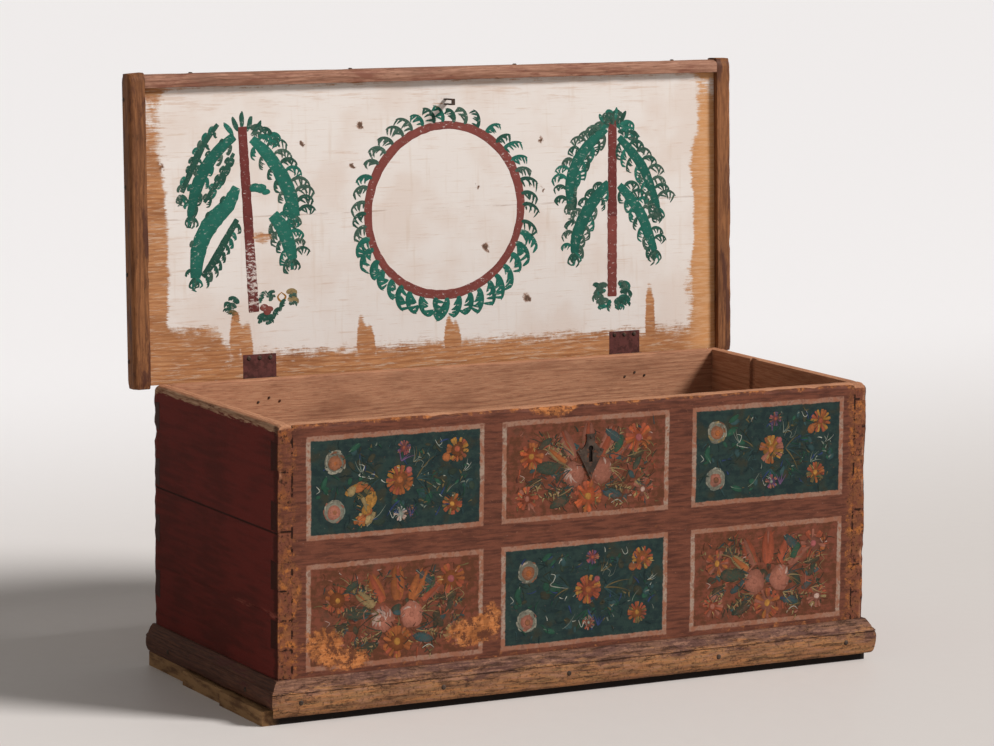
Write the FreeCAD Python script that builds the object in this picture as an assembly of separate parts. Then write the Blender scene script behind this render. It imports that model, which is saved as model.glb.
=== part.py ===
import FreeCAD, Part
import math
import os

# A painted pine dowry chest with its lid open. Sizes are in millimetres.
# +X runs to the viewer's right, +Y to the back and +Z up.
# The origin is on the floor, under the centre of the carcass.

Vec = FreeCAD.Vector
X_AXIS = Vec(1, 0, 0)
Y_AXIS = Vec(0, 1, 0)
Z_AXIS = Vec(0, 0, 1)
TAU_EIGHTH = math.pi / 4

# Carcass
body_length = 1100.0
body_depth = 490.0
wall_height = 454.0
wall = 25.0
bottom_thickness = 24.0
side_lower_board = 151.0
side_middle_board = 131.0
front_lower_board = 246.0
back_lower_board = 150.0
back_middle_board = 155.0
rim_round = 7.0

# Corner joints, counted down from the rim
finger_count = 9
top_finger = 27.0
tail_flare = 3.0

# Bottom boards, front to rear, run past the sides by uneven amounts
left_overhangs = (27.0, 20.0, 10.0)
right_overhangs = (5.0, 2.0, 4.0)

# Groove for a lost till, in the inner face of the right side
till_groove_width = 18.0
till_groove_depth = 6.0
till_groove_length = 160.0
till_groove_from_back = 162.0

# Plinth moulding
plinth_out = 18.0
plinth_height = 60.0
plinth_lift = 12.0
plinth_top_flat = 4.0
plinth_bevel_drop = 15.0
plinth_bead = 5.0
plinth_quirk = 2.0
plinth_foot_round = 8.0

# Lid
lid_thickness = 22.0
lid_rest_gap = 0.5
lid_clearance = 3.5
lid_lip = 12.0
lid_rear_board = 276.0
cleat_width = 30.0
cleat_horn = 3.5
cleat_tail = 6.0
cleat_round = 7.0
rail_width = 23.0
rail_round = 6.0
open_angle = 92.3

# Hinges
hinge_left_from_end = 201.0
hinge_right_from_end = 185.0
leaf_width = 62.0
leaf_length = 42.0
leaf_thickness = 2.5
barrel_radius = 4.7
barrel_stand_off = 0.5
barrel_clearance = 0.9
hinge_drop = 6.0
lid_set_back = 1.6
pin_radius = 2.45
pin_clearance = 0.05
pin_proud = 1.0
knuckle_gap = 0.4

# Lock
lock_from_centre = 12.0
case_length = 150.0
case_height = 106.0
case_depth = 20.0
case_drop = 6.0
case_sheet = 2.0
flange_width = 14.0
slot_length = 12.0
slot_width = 16.0
staple_set_back = 9.0
staple_drop = 30.0
staple_root = 15.0
staple_width = 6.0
staple_eye = 6.0
staple_strap = 2.5
bolt_thickness = 4.5
bolt_bar = 8.0
bolt_tail_gap = 3.0
bolt_throw = 18.0
bolt_tip_back = 8.0
bolt_from_rim = 16.0
talon_from_rim = 50.0
talon_tip_back = 5.0
talon_notch_width = 12.0
talon_notch_depth = 4.0
talon_notch_back = 16.0
keep_length = 8.0
keep_strap = 3.0
keep_clearance = 0.3
keep_first_back = 16.0
keep_throw_gap = 2.0
spring_sheet = 0.8
spring_width = 5.0
spring_length = 14.0
spring_clearance = 0.3

# Keyhole and its escutcheon
escutcheon_thickness = 2.0
escutcheon_half_width = 25.5
escutcheon_height = 75.0
escutcheon_shoulder = 27.0
escutcheon_from_rim = 51.0
escutcheon_tab_half = 8.5
escutcheon_neck_half = 11.5
escutcheon_neck_rise = 8.0
escutcheon_waist = 1.0
keyhole_from_rim = 70.0
keyhole_height = 27.0
keyhole_radius = 4.5
keyhole_neck = 5.4
keyhole_foot = 7.0

# Hand-made nails
nail_side = 3.0
nail_head_radius = 4.2
nail_head_top_radius = 2.2
nail_head_height = 1.5
small_nail_side = 2.0
small_nail_head_radius = 2.6
small_nail_head_top_radius = 1.4
small_nail_head_height = 1.0
bottom_nail_bite = 34.0
plinth_nail_bite = 18.0
cleat_nail_bite = 26.0
lid_nail_length = 17.0
clench_length = 1.6
lock_nail_length = 18.0
escutcheon_nail_length = 14.0
leaf_nail_inset = 6.5
leaf_nail_spread = 20.0
back_leaf_nail_drop = 27.0
flange_nail_inset = 16.0
escutcheon_nail_inset = 5.5

# Places of repeated nails, as shares of the length they are spread over
bottom_nail_shares = (-0.4, -0.2, 0.0, 0.2, 0.4)
board_nail_shares = (0.25, 0.75)
plinth_nail_shares = (-0.47, -0.24, -0.03, 0.23, 0.46)
side_plinth_nail_shares = (-0.33, 0.3)
cleat_nail_shares = (0.08, 0.36, 0.64, 0.92)
rail_nail_shares = (-0.42, -0.15, 0.14, 0.43)

# How far cutting tools run past the faces that they cut
overrun = 5.0

# Levels and faces that several pieces share
rim = bottom_thickness + wall_height
half_length = body_length / 2
half_depth = body_depth / 2
inner_front = wall - half_depth
inner_back = half_depth - wall
plinth_top = plinth_lift + plinth_height
lid_inner = rim + lid_rest_gap
lid_top = lid_inner + lid_thickness
lid_half = half_length + lid_clearance
rail_back = -half_depth - lid_clearance
rail_front = rail_back - rail_width
hinge_y = half_depth + barrel_stand_off + barrel_radius
hinge_z = rim - hinge_drop
lid_rear = hinge_y - lid_set_back
hinge_centres = {"left": hinge_left_from_end - half_length, "right": half_length - hinge_right_from_end}
lock_x = lock_from_centre
staple_y = inner_front + staple_set_back
case_top = rim - case_drop
case_floor = case_top - case_height
case_back = inner_front + case_depth

pieces = {}


def block(x_low, x_high, y_low, y_high, z_low, z_high):
    """Rectangular solid between two corners."""
    return Part.makeBox(x_high - x_low, y_high - y_low, z_high - z_low, Vec(x_low, y_low, z_low))


def one_solid(shape):
    """The single clean solid that a sum or a cut leaves."""
    return shape.removeSplitter().Solids[0]


def prism(points, direction):
    """Solid swept from a closed outline of corner points."""
    return Part.Face(Part.makePolygon(points + points[:1])).extrude(direction)


def rod(x_low, x_high, y, z, radius):
    """Round bar along X."""
    return Part.makeCylinder(radius, x_high - x_low, Vec(x_low, y, z), X_AXIS)


def long_edges(shape, axis, chosen):
    """Straight edges along an axis whose middle point passes a test."""
    found = []
    for edge in shape.Edges:
        run = edge.Vertexes[-1].Point - edge.Vertexes[0].Point
        along = abs(run.dot(axis)) > run.Length / 2
        if along and chosen(edge.CenterOfMass):
            found.append(edge)
    return found


def nail(seat, direction, length, side, head_radius, head_top_radius, head_height):
    """Square-shanked nail whose head's underside sits at the seat, driven along a direction."""
    shank = Part.makeBox(side, side, length, Vec(-side / 2, -side / 2, 0))
    head = Part.makeCone(head_radius, head_top_radius, head_height, Vec(0, 0, 0), -Z_AXIS)
    shape = one_solid(shank.fuse(head))
    shape.Placement = FreeCAD.Placement(seat, FreeCAD.Rotation(Z_AXIS, direction))
    return shape


def large_nail(seat, direction, length):
    return nail(seat, direction, length, nail_side, nail_head_radius, nail_head_top_radius, nail_head_height)


def small_nail(seat, direction, length):
    return nail(seat, direction, length, small_nail_side, small_nail_head_radius,
                small_nail_head_top_radius, small_nail_head_height)


def drive(group_name, nails, boards):
    """Keep a group of nails and open their holes in the boards that they hold together."""
    group = Part.makeCompound(nails)
    for board in boards:
        pieces[board] = one_solid(pieces[board].cut(group))
    pieces[group_name] = group


def split(wall_shape, names, heights):
    """Cut a wall into edge-joined boards, from its foot up; the top board takes the rest."""
    low = bottom_thickness
    for name, height in zip(names, list(heights) + [None]):
        high = rim + overrun if height is None else low + height
        band = block(-body_length, body_length, -body_depth, body_depth, low, high)
        pieces[name] = one_solid(wall_shape.common(band))
        low = high


def finger_levels():
    """Heights of the shoulders between fingers, from the rim down to the walls' foot."""
    pitch = (wall_height - top_finger) / finger_count
    return [rim] + [rim - top_finger - pitch * step for step in range(finger_count + 1)]


def tails(x_low, toward):
    """Tails of one side board at its front (toward -1) or back (toward +1) end."""
    root = toward * (half_depth - wall)
    end = toward * half_depth
    levels = finger_levels()
    shapes = []
    for step in range(0, finger_count + 1, 2):
        high = levels[step]
        low = levels[step + 1]
        top_flare = tail_flare if step else 0
        outline = [Vec(x_low, root, low), Vec(x_low, end, low - tail_flare),
                   Vec(x_low, end, high + top_flare), Vec(x_low, root, high)]
        shapes.append(prism(outline, X_AXIS * wall))
    return shapes


def rounding_tool(corner_x, inward):
    """Waste outside the rounded top outer edge of a side."""
    centre_x = corner_x + inward * rim_round
    low_x = min(corner_x - inward * overrun, centre_x)
    high_x = max(corner_x - inward * overrun, centre_x)
    length = body_depth + 2 * overrun
    corner = block(low_x, high_x, -length / 2, length / 2, rim - rim_round, rim + overrun)
    core = Part.makeCylinder(rim_round, length, Vec(centre_x, -length / 2, rim - rim_round), Y_AXIS)
    return corner.cut(core)


def make_walls():
    left_x = -half_length
    right_x = half_length - wall
    front = block(-half_length, half_length, -half_depth, inner_front, bottom_thickness, rim)
    back = block(-half_length, half_length, inner_back, half_depth, bottom_thickness, rim)
    for side, x_low, corner_x, inward in (("left", left_x, -half_length, 1), ("right", right_x, half_length, -1)):
        front_tails = tails(x_low, -1)
        back_tails = tails(x_low, 1)
        front = front.cut(Part.makeCompound(front_tails))
        back = back.cut(Part.makeCompound(back_tails))
        core = block(x_low, x_low + wall, inner_front, inner_back, bottom_thickness, rim)
        shape = core.fuse(front_tails + back_tails).removeSplitter()
        shape = shape.cut(rounding_tool(corner_x, inward))
        if side == "right":
            shape = shape.cut(till_groove())
        split(shape, [side + "_lower_board", side + "_middle_board", side + "_upper_board"],
              (side_lower_board, side_middle_board))
    split(front, ["front_lower_board", "front_upper_board"], (front_lower_board,))
    split(back, ["back_lower_board", "back_middle_board", "back_upper_board"],
          (back_lower_board, back_middle_board))


def till_groove():
    """Upright housing that once held the front of a till."""
    face_x = half_length - wall
    middle_y = half_depth - till_groove_from_back
    return block(face_x - overrun, face_x + till_groove_depth, middle_y - till_groove_width / 2,
                 middle_y + till_groove_width / 2, rim - till_groove_length, rim + overrun)


def make_bottom():
    names = ("bottom_front_board", "bottom_middle_board", "bottom_rear_board")
    width = body_depth / len(names)
    nails = []
    for step, name in enumerate(names):
        y_low = step * width - half_depth
        pieces[name] = block(-half_length - left_overhangs[step], half_length + right_overhangs[step],
                             y_low, y_low + width, 0, bottom_thickness)
        for share in board_nail_shares:
            for side in (-1, 1):
                seat = Vec(side * (half_length - wall / 2), y_low + share * width, nail_head_height)
                nails.append(large_nail(seat, Z_AXIS, bottom_nail_bite + bottom_thickness))
    for share in bottom_nail_shares:
        for side in (-1, 1):
            seat = Vec(share * body_length, side * (half_depth - wall / 2), nail_head_height)
            nails.append(large_nail(seat, Z_AXIS, bottom_nail_bite + bottom_thickness))
    walls = [side + "_lower_board" for side in ("front", "back", "left", "right")]
    drive("bottom_nails", nails, list(names) + walls)


def face_middle(foot):
    """Level at which a moulding's rounded face stands out furthest."""
    return (plinth_top - plinth_bevel_drop - plinth_bead + foot + plinth_foot_round) / 2


def moulding(foot, run):
    """Straight plinth moulding along X, standing out towards -Y from the plane y = 0."""
    bead_level = plinth_top - plinth_bevel_drop
    step_level = bead_level - plinth_bead
    face_out = plinth_out - plinth_quirk
    bead_centre = plinth_out - plinth_bead
    round_out = face_out - plinth_foot_round
    round_level = foot + plinth_foot_round
    cos45 = math.cos(TAU_EIGHTH)

    def at(out, level):
        return Vec(-run / 2, -out, level)

    bead_mid = at(bead_centre + plinth_bead * cos45, step_level + plinth_bead * cos45)
    face_mid = at(plinth_out, face_middle(foot))
    foot_mid = at(round_out + plinth_foot_round * cos45, round_level - plinth_foot_round * cos45)
    edges = [
        Part.LineSegment(at(0, foot), at(0, plinth_top)),
        Part.LineSegment(at(0, plinth_top), at(plinth_top_flat, plinth_top)),
        Part.LineSegment(at(plinth_top_flat, plinth_top), at(bead_centre, bead_level)),
        Part.Arc(at(bead_centre, bead_level), bead_mid, at(plinth_out, step_level)),
        Part.LineSegment(at(plinth_out, step_level), at(face_out, step_level)),
        Part.Arc(at(face_out, step_level), face_mid, at(face_out, round_level)),
        Part.Arc(at(face_out, round_level), foot_mid, at(round_out, foot)),
        Part.LineSegment(at(round_out, foot), at(0, foot)),
    ]
    return Part.Face(Part.Wire([edge.toShape() for edge in edges])).extrude(X_AXIS * run)


def make_plinth():
    reach = plinth_out + overrun
    tall = plinth_top + overrun
    front = moulding(plinth_lift, body_length + 2 * reach)
    front.translate(Vec(0, -half_depth, 0))
    keep = prism([Vec(-half_length - reach, -half_depth - reach, 0), Vec(-half_length, -half_depth, 0),
                  Vec(half_length, -half_depth, 0), Vec(half_length + reach, -half_depth - reach, 0)],
                 Z_AXIS * tall)
    pieces["plinth_front"] = one_solid(front.common(keep))
    for side, name in ((-1, "plinth_left"), (1, "plinth_right")):
        shape = moulding(bottom_thickness, body_depth + 2 * reach)
        shape.rotate(Vec(0, 0, 0), Z_AXIS, side * math.degrees(math.pi / 2))
        shape.translate(Vec(side * half_length, 0, 0))
        outer = side * (half_length + reach)
        keep = prism([Vec(side * half_length, -half_depth, 0), Vec(outer, -half_depth - reach, 0),
                      Vec(outer, half_depth, 0), Vec(side * half_length, half_depth, 0)], Z_AXIS * tall)
        pieces[name] = one_solid(shape.common(keep))
    length = plinth_out + plinth_nail_bite
    nails = []
    for share in plinth_nail_shares:
        seat = Vec(share * body_length, -half_depth - plinth_out, face_middle(plinth_lift))
        nails.append(large_nail(seat, Y_AXIS, length))
    for share in side_plinth_nail_shares:
        for side in (-1, 1):
            seat = Vec(side * (half_length + plinth_out), share * body_depth, face_middle(bottom_thickness))
            nails.append(large_nail(seat, X_AXIS * -side, length))
    walls = ["front_lower_board", "left_lower_board", "right_lower_board"]
    drive("plinth_nails", nails, ["plinth_front", "plinth_left", "plinth_right"] + walls)


def make_lid():
    """Lid pieces in the closed position."""
    seam = lid_rear - lid_rear_board
    pieces["lid_rear_board"] = block(-lid_half, lid_half, seam, lid_rear, lid_inner, lid_top)
    pieces["lid_front_board"] = block(-lid_half, lid_half, rail_back, seam, lid_inner, lid_top)
    low = lid_inner - lid_lip
    middle = (low + lid_top) / 2
    rail = block(-lid_half, lid_half, rail_front, rail_back, low, lid_top)
    front_edges = long_edges(rail, X_AXIS, lambda p: p.y < (rail_front + rail_back) / 2)
    pieces["lid_front_rail"] = rail.makeFillet(rail_round, front_edges)
    nails = []
    run = lid_rear - rail_front
    for side, name in ((-1, "lid_left_cleat"), (1, "lid_right_cleat")):
        ends = sorted((side * lid_half, side * (lid_half + cleat_width)))
        cleat = block(ends[0], ends[1], rail_front - cleat_horn, lid_rear + cleat_tail, low, lid_top)
        outer_edges = long_edges(cleat, Y_AXIS, lambda p: abs(p.x) > lid_half + cleat_width / 2)
        pieces[name] = cleat.makeFillet(cleat_round, outer_edges)
        for share in cleat_nail_shares:
            seat = Vec(side * (lid_half + cleat_width), rail_front + share * run, (lid_inner + lid_top) / 2)
            nails.append(large_nail(seat, X_AXIS * -side, cleat_width + cleat_nail_bite))
    for share in rail_nail_shares:
        seat = Vec(share * body_length, rail_front, (lid_inner + lid_top) / 2)
        nails.append(large_nail(seat, Y_AXIS, rail_width + cleat_nail_bite))
    drive("cleat_nails", nails, ["lid_left_cleat", "lid_right_cleat", "lid_front_rail", "lid_front_board",
                                 "lid_rear_board"])


def make_hinge(side, centre):
    """One cranked hinge: a leaf let into the lid, a leaf on the back and a loose pin below the rim."""
    start = centre - leaf_width / 2
    third = leaf_width / 3
    bore = rod(start - overrun, start + leaf_width + overrun, hinge_y, hinge_z, pin_radius + pin_clearance)

    lid_start = start + third + knuckle_gap / 2
    lid_end = start + 2 * third - knuckle_gap / 2
    plate = block(start, start + leaf_width, lid_rear - leaf_length, lid_rear, lid_inner,
                  lid_inner + leaf_thickness)
    crank_back = hinge_y + leaf_thickness / 2
    leaf_top = lid_inner + leaf_thickness
    tongue = block(lid_start, lid_end, lid_rear, crank_back, lid_inner, leaf_top)
    crank = block(lid_start, lid_end, crank_back - leaf_thickness, crank_back, hinge_z, leaf_top)
    barrel = rod(lid_start, lid_end, hinge_y, hinge_z, barrel_radius)
    lid_leaf = "hinge_" + side + "_lid_leaf"
    pieces[lid_leaf] = one_solid(plate.fuse([tongue, crank, barrel]).cut(bore))
    pieces["lid_rear_board"] = one_solid(pieces["lid_rear_board"].cut(plate))

    plate_top = hinge_z - barrel_radius - barrel_clearance
    shapes = [block(start, start + leaf_width, half_depth, half_depth + leaf_thickness,
                    plate_top - leaf_length, plate_top)]
    for low, high in ((start, lid_start - knuckle_gap), (lid_end + knuckle_gap, start + leaf_width)):
        shapes.append(block(low, high, half_depth, half_depth + leaf_thickness, plate_top, hinge_z))
        shapes.append(rod(low, high, hinge_y, hinge_z, barrel_radius))
    back_leaf = "hinge_" + side + "_back_leaf"
    pieces[back_leaf] = one_solid(shapes[0].fuse(shapes[1:]).cut(bore))

    pieces["hinge_" + side + "_pin"] = rod(start - pin_proud, start + leaf_width + pin_proud, hinge_y,
                                           hinge_z, pin_radius)

    lid_nails = []
    back_nails = []
    for step in (-1, 0, 1):
        x = centre + step * leaf_nail_spread
        lid_seat = Vec(x, lid_rear - leaf_length + leaf_nail_inset, lid_inner)
        lid_nails.append(large_nail(lid_seat, Z_AXIS, lid_nail_length))
        drop = back_leaf_nail_drop if step else back_leaf_nail_drop - leaf_nail_inset
        back_seat = Vec(x, half_depth + leaf_thickness, plate_top - drop)
        back_nails.append(large_nail(back_seat, -Y_AXIS, leaf_thickness + wall + clench_length))
    return lid_leaf, lid_nails, back_leaf, back_nails


def make_hinges():
    lid_leaves = []
    lid_nails = []
    back_leaves = []
    back_nails = []
    for side, centre in hinge_centres.items():
        lid_leaf, side_lid_nails, back_leaf, side_back_nails = make_hinge(side, centre)
        lid_leaves.append(lid_leaf)
        lid_nails += side_lid_nails
        back_leaves.append(back_leaf)
        back_nails += side_back_nails
    drive("hinge_lid_nails", lid_nails, lid_leaves + ["lid_rear_board"])
    drive("hinge_back_nails", back_nails, back_leaves + ["back_upper_board"])


def make_lock_case():
    """Sheet-iron case, open to the board, with a slot on top for the staple."""
    low_x = lock_x - case_length / 2
    high_x = lock_x + case_length / 2
    shell = block(low_x, high_x, inner_front, case_back, case_floor, case_top)
    hollow = block(low_x + case_sheet, high_x - case_sheet, inner_front - overrun, case_back - case_sheet,
                   case_floor + case_sheet, case_top - case_sheet)
    slot = block(lock_x - slot_length / 2, lock_x + slot_length / 2, staple_y - slot_width / 2,
                 staple_y + slot_width / 2, case_top - case_sheet - overrun, case_top + overrun)
    shape = shell.cut(hollow).cut(slot)
    nails = []
    for side in (-1, 1):
        edge = lock_x + side * case_length / 2
        ends = sorted((edge, edge + side * flange_width))
        shape = shape.fuse(block(ends[0], ends[1], inner_front, inner_front + case_sheet, case_floor, case_top))
        for level in (case_floor + flange_nail_inset, case_top - flange_nail_inset):
            seat = Vec(edge + side * flange_width / 2, inner_front + case_sheet, level)
            nails.append(small_nail(seat, -Y_AXIS, lock_nail_length))
    pieces["lock_case"] = one_solid(shape)
    drive("lock_nails", nails, ["lock_case", "front_upper_board"])


def make_bolt():
    """Sliding bolt bent like a hairpin: the upper bar shoots, the lower one takes the key."""
    high = rim - bolt_from_rim
    talon_high = rim - talon_from_rim
    tail_x = lock_x - case_length / 2 + case_sheet + bolt_tail_gap
    y_low = staple_y - bolt_thickness / 2
    y_high = staple_y + bolt_thickness / 2
    bar = block(tail_x, lock_x - bolt_tip_back, y_low, y_high, high - bolt_bar, high)
    back_bar = block(tail_x, tail_x + bolt_bar, y_low, y_high, talon_high - bolt_bar, high)
    talon = block(tail_x, lock_x - talon_tip_back, y_low, y_high, talon_high - bolt_bar, talon_high)
    notch_x = lock_x - talon_notch_back
    notch = block(notch_x - talon_notch_width, notch_x, y_low - overrun, y_high + overrun,
                  talon_high - bolt_bar - overrun, talon_high - bolt_bar + talon_notch_depth)
    pieces["lock_bolt"] = one_solid(bar.fuse([back_bar, talon]).cut(notch))

    window_y = (y_low - keep_clearance, y_high + keep_clearance)
    window_z = (high - bolt_bar - keep_clearance, high + keep_clearance)
    keeps = []
    first_low = lock_x - keep_first_back - keep_length
    second_low = tail_x + bolt_bar + bolt_throw + keep_throw_gap
    for x_low in (first_low, second_low):
        x_high = x_low + keep_length
        keep = block(x_low, x_high, window_y[0] - keep_strap, case_back - case_sheet,
                     window_z[0] - keep_strap, window_z[1] + keep_strap)
        window = block(x_low - overrun, x_high + overrun, window_y[0], window_y[1], window_z[0], window_z[1])
        keeps.append(keep.cut(window).Solids[0])
    pieces["bolt_keeps"] = Part.makeCompound(keeps)

    touch = high + spring_clearance
    roof = case_top - case_sheet
    root_x = tail_x
    tip_x = tail_x + spring_length
    outline = [Vec(root_x, 0, roof), Vec(root_x, 0, roof - spring_sheet),
               Vec(tip_x - 2 * spring_sheet, 0, touch), Vec(tip_x, 0, touch),
               Vec(tip_x, 0, touch + spring_sheet), Vec(tip_x - 2 * spring_sheet, 0, touch + spring_sheet),
               Vec(root_x + 2 * spring_sheet, 0, roof)]
    spring = prism(outline, Y_AXIS * spring_width)
    spring.translate(Vec(0, staple_y - spring_width / 2, 0))
    pieces["bolt_spring"] = spring


def make_staple():
    """Iron loop on the lid that drops into the lock, in the closed position."""
    half_outer = staple_eye / 2 + staple_strap
    half_eye = staple_eye / 2
    top = lid_inner + staple_root
    low = lid_inner - staple_drop
    x = lock_x - staple_width / 2
    outline = [Vec(x, staple_y - half_outer, top), Vec(x, staple_y - half_outer, low),
               Vec(x, staple_y + half_outer, low), Vec(x, staple_y + half_outer, top),
               Vec(x, staple_y + half_eye, top), Vec(x, staple_y + half_eye, low + staple_strap),
               Vec(x, staple_y - half_eye, low + staple_strap), Vec(x, staple_y - half_eye, top)]
    pieces["lid_staple"] = prism(outline, X_AXIS * staple_width)
    pieces["lid_front_board"] = one_solid(pieces["lid_front_board"].cut(pieces["lid_staple"]))


def keyhole_tool():
    """Keyhole: a round head over a slot that widens downwards."""
    y_low = -half_depth - escutcheon_thickness - overrun
    depth = Y_AXIS * (inner_front + overrun - y_low)
    centre_z = rim - keyhole_from_rim - keyhole_radius
    foot_z = rim - keyhole_from_rim - keyhole_height
    head = Part.makeCylinder(keyhole_radius, depth.Length, Vec(lock_x, y_low, centre_z), Y_AXIS)
    slot = prism([Vec(lock_x - keyhole_neck / 2, y_low, centre_z), Vec(lock_x - keyhole_foot / 2, y_low, foot_z),
                  Vec(lock_x + keyhole_foot / 2, y_low, foot_z), Vec(lock_x + keyhole_neck / 2, y_low, centre_z)],
                 depth)
    return head.fuse(slot)


def make_escutcheon():
    """Iron keyhole plate: a narrow tab on hollow shoulders, with sides running down to a point."""
    face_y = -half_depth - escutcheon_thickness
    crown_z = rim - escutcheon_from_rim
    shoulder_z = crown_z - escutcheon_shoulder
    tip_z = crown_z - escutcheon_height
    half = escutcheon_half_width

    def at(x, z):
        return Vec(lock_x + x, face_y, z)

    edges = [Part.LineSegment(at(-escutcheon_tab_half, crown_z), at(escutcheon_tab_half, crown_z)).toShape()]
    for side in (-1, 1):
        tab = at(side * escutcheon_tab_half, crown_z)
        neck = at(side * escutcheon_neck_half, shoulder_z + escutcheon_neck_rise)
        flank = at(side * (half / 2 - escutcheon_waist), (shoulder_z + tip_z) / 2)
        edges.append(Part.Arc(tab, neck, at(side * half, shoulder_z)).toShape())
        edges.append(Part.Arc(at(side * half, shoulder_z), flank, at(0, tip_z)).toShape())
    outline = Part.Wire(Part.sortEdges(edges)[0])
    plate = Part.Face(outline).extrude(Y_AXIS * escutcheon_thickness)
    hole = keyhole_tool()
    pieces["keyhole_escutcheon"] = one_solid(plate.cut(hole))
    pieces["front_upper_board"] = one_solid(pieces["front_upper_board"].cut(hole))
    nails = []
    for x, z in ((0, crown_z - escutcheon_nail_inset), (0, tip_z + 2 * escutcheon_nail_inset),
                 (escutcheon_nail_inset - half, shoulder_z), (half - escutcheon_nail_inset, shoulder_z)):
        nails.append(small_nail(at(x, z), Y_AXIS, escutcheon_nail_length))
    drive("escutcheon_nails", nails, ["keyhole_escutcheon", "front_upper_board"])


def open_lid():
    """Turn the lid's pieces about the hinge pins to the open position."""
    lid_names = ["lid_front_board", "lid_rear_board", "lid_left_cleat", "lid_right_cleat", "lid_front_rail",
                 "hinge_left_lid_leaf", "hinge_right_lid_leaf", "lid_staple", "cleat_nails", "hinge_lid_nails"]
    for name in lid_names:
        pieces[name].rotate(Vec(0, hinge_y, hinge_z), X_AXIS, -open_angle)


make_walls()
make_bottom()
make_plinth()
make_lid()
make_hinges()
make_lock_case()
make_bolt()
make_staple()
make_escutcheon()
open_lid()

os.makedirs("parts", exist_ok=True)
for node, shape in pieces.items():
    shape.exportStep(os.path.join("parts", node + ".step"))
    print(node, len(shape.Solids), shape.isValid(), round(shape.Volume))
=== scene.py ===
import math
import random

import bmesh
import bpy
from mathutils import Matrix, Vector, noise


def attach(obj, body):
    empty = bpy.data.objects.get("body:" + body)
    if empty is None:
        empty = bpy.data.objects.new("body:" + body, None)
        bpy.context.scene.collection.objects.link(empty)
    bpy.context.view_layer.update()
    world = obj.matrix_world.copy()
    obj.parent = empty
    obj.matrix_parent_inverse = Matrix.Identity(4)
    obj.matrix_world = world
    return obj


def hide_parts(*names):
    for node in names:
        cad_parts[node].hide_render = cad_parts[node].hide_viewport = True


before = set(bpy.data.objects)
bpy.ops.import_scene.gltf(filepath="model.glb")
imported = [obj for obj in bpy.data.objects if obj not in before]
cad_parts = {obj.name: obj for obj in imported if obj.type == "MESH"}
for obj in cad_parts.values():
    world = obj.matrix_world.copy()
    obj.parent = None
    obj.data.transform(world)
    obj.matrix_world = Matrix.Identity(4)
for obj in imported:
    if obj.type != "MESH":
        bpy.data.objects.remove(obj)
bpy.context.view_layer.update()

# A painted pine dowry chest with its lid open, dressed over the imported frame.
# Lengths in this file are millimetres unless a name or a heading says otherwise.

MM = 0.001
X, Y, Z = 0, 1, 2

# Camera: place and clips in metres, turns in degrees, lens and sensor in millimetres
CAMERA_PLACE = (-3.0921, -5.7005, 1.4333)
CAMERA_YAW = 28.24
CAMERA_PITCH = -8.23
CAMERA_ROLL = 0.48
CAMERA_LENS = 141.2
SENSOR_WIDTH = 36.0
CLIP_NEAR = 0.05
CLIP_FAR = 400.0

# Studio: the floor, where it starts to whiten and where it is white, the sun and the fill light
FLOOR_HALF_METRES = 120.0
FLOOR_TURN = 300.0
FLOOR_WHITE = 3600.0
SUN_TOWARDS = (-0.80, 0.74, -0.86)
SUN_STRENGTH = 3.9
SUN_ANGLE = 16.0
WORLD_STRENGTH = 0.30

# Wear of arrises: lengths over which it comes and goes, and the level of noise where chips start
WEAR_SLOW = 95.0
WEAR_QUICK = 17.0
WEAR_CHIP = 42.0
CHIP_START = 0.22

# Softened edges, and the mending and cutting of the worn boards
JOINT_SOFTNESS = 0.6
BOTTOM_SOFTNESS = 1.2
LEAF_SOFTNESS = 0.4
IRON_SOFTNESS = 0.3
SHARP_ANGLE = 24.0
SMOOTH_ANGLE = 38.0
FLAT_ANGLE = 0.5
WELD = 0.002
CUT_MERGE = 0.02
SLICE = 8.0
PLINTH_SLICE = 6.0
RAIL_SLICE = 4.0

# Places on the carcass
FRONT_FACE = -245.0
HALF_DEPTH = -FRONT_FACE
SIDE_FACE = 550.0
WALL = 25.0
RIM = 478.0
FLOOR_OF_WALLS = 24.0
PAINT_SKIN = 3.0
KEYHOLE = (12.0, 394.5)
KEYHOLE_REACH = (10.0, 24.0)
KEYHOLE_DEPTH = 22.0
FRONT_SEAM = 270.0
SIDE_SEAMS = (175.0, 306.0)
TOP_FINGER_FOOT = 451.0
FINGER_PITCH = 47.45

# Places on the plinth
PLINTH_FACE = 263.0
PLINTH_END = 568.0
PLINTH_TOP = 72.0
PLINTH_STEP = 57.0
PLINTH_NOSE = 4.0
PLINTH_FOOT = 12.0
QUIRK_LEVEL = 51.0

# The open lid's painted face: a point on its lower edge, its rise, its outward direction and its frame
LID_FOOT = Vector((0.0, 256.9, 477.3))
LID_RISE = Vector((0.0, 0.0401, 0.9992))
LID_OUT = Vector((0.0, -0.9992, 0.0401))
LID_LOCAL = Matrix((
    (1.0, 0.0, 0.0, LID_FOOT.x),
    (0.0, LID_RISE.y, LID_OUT.y, LID_FOOT.y),
    (0.0, LID_RISE.z, LID_OUT.z, LID_FOOT.z),
    (0.0, 0.0, 0.0, 1.0),
))

# Places on the lid: across it, up its face and out from it
LID_EDGE = 553.5
CLEAT_EDGE = 583.5
LID_LOW = -4.0
LID_SEAM = 272.0
LID_HIGH = 493.1
RAIL_HIGH = 516.1
CLEAT_LOW = -10.0
CLEAT_HIGH = 519.6
LID_LIP = 12.0
LID_THICK = 22.0

# Painted panels on the front: outer edges of their borders, and the reach of the middle column's own field
COLUMNS = ((-500.0, -184.0), (-151.0, 161.0), (206.0, 503.0))
ROWS = ((80.0, 252.0), (290.0, 457.0))
BORDER = 8.0
MIDDLE_REACH = 170.0

# Growth rings of the pine
RING_PITCH = 8.5

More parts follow.
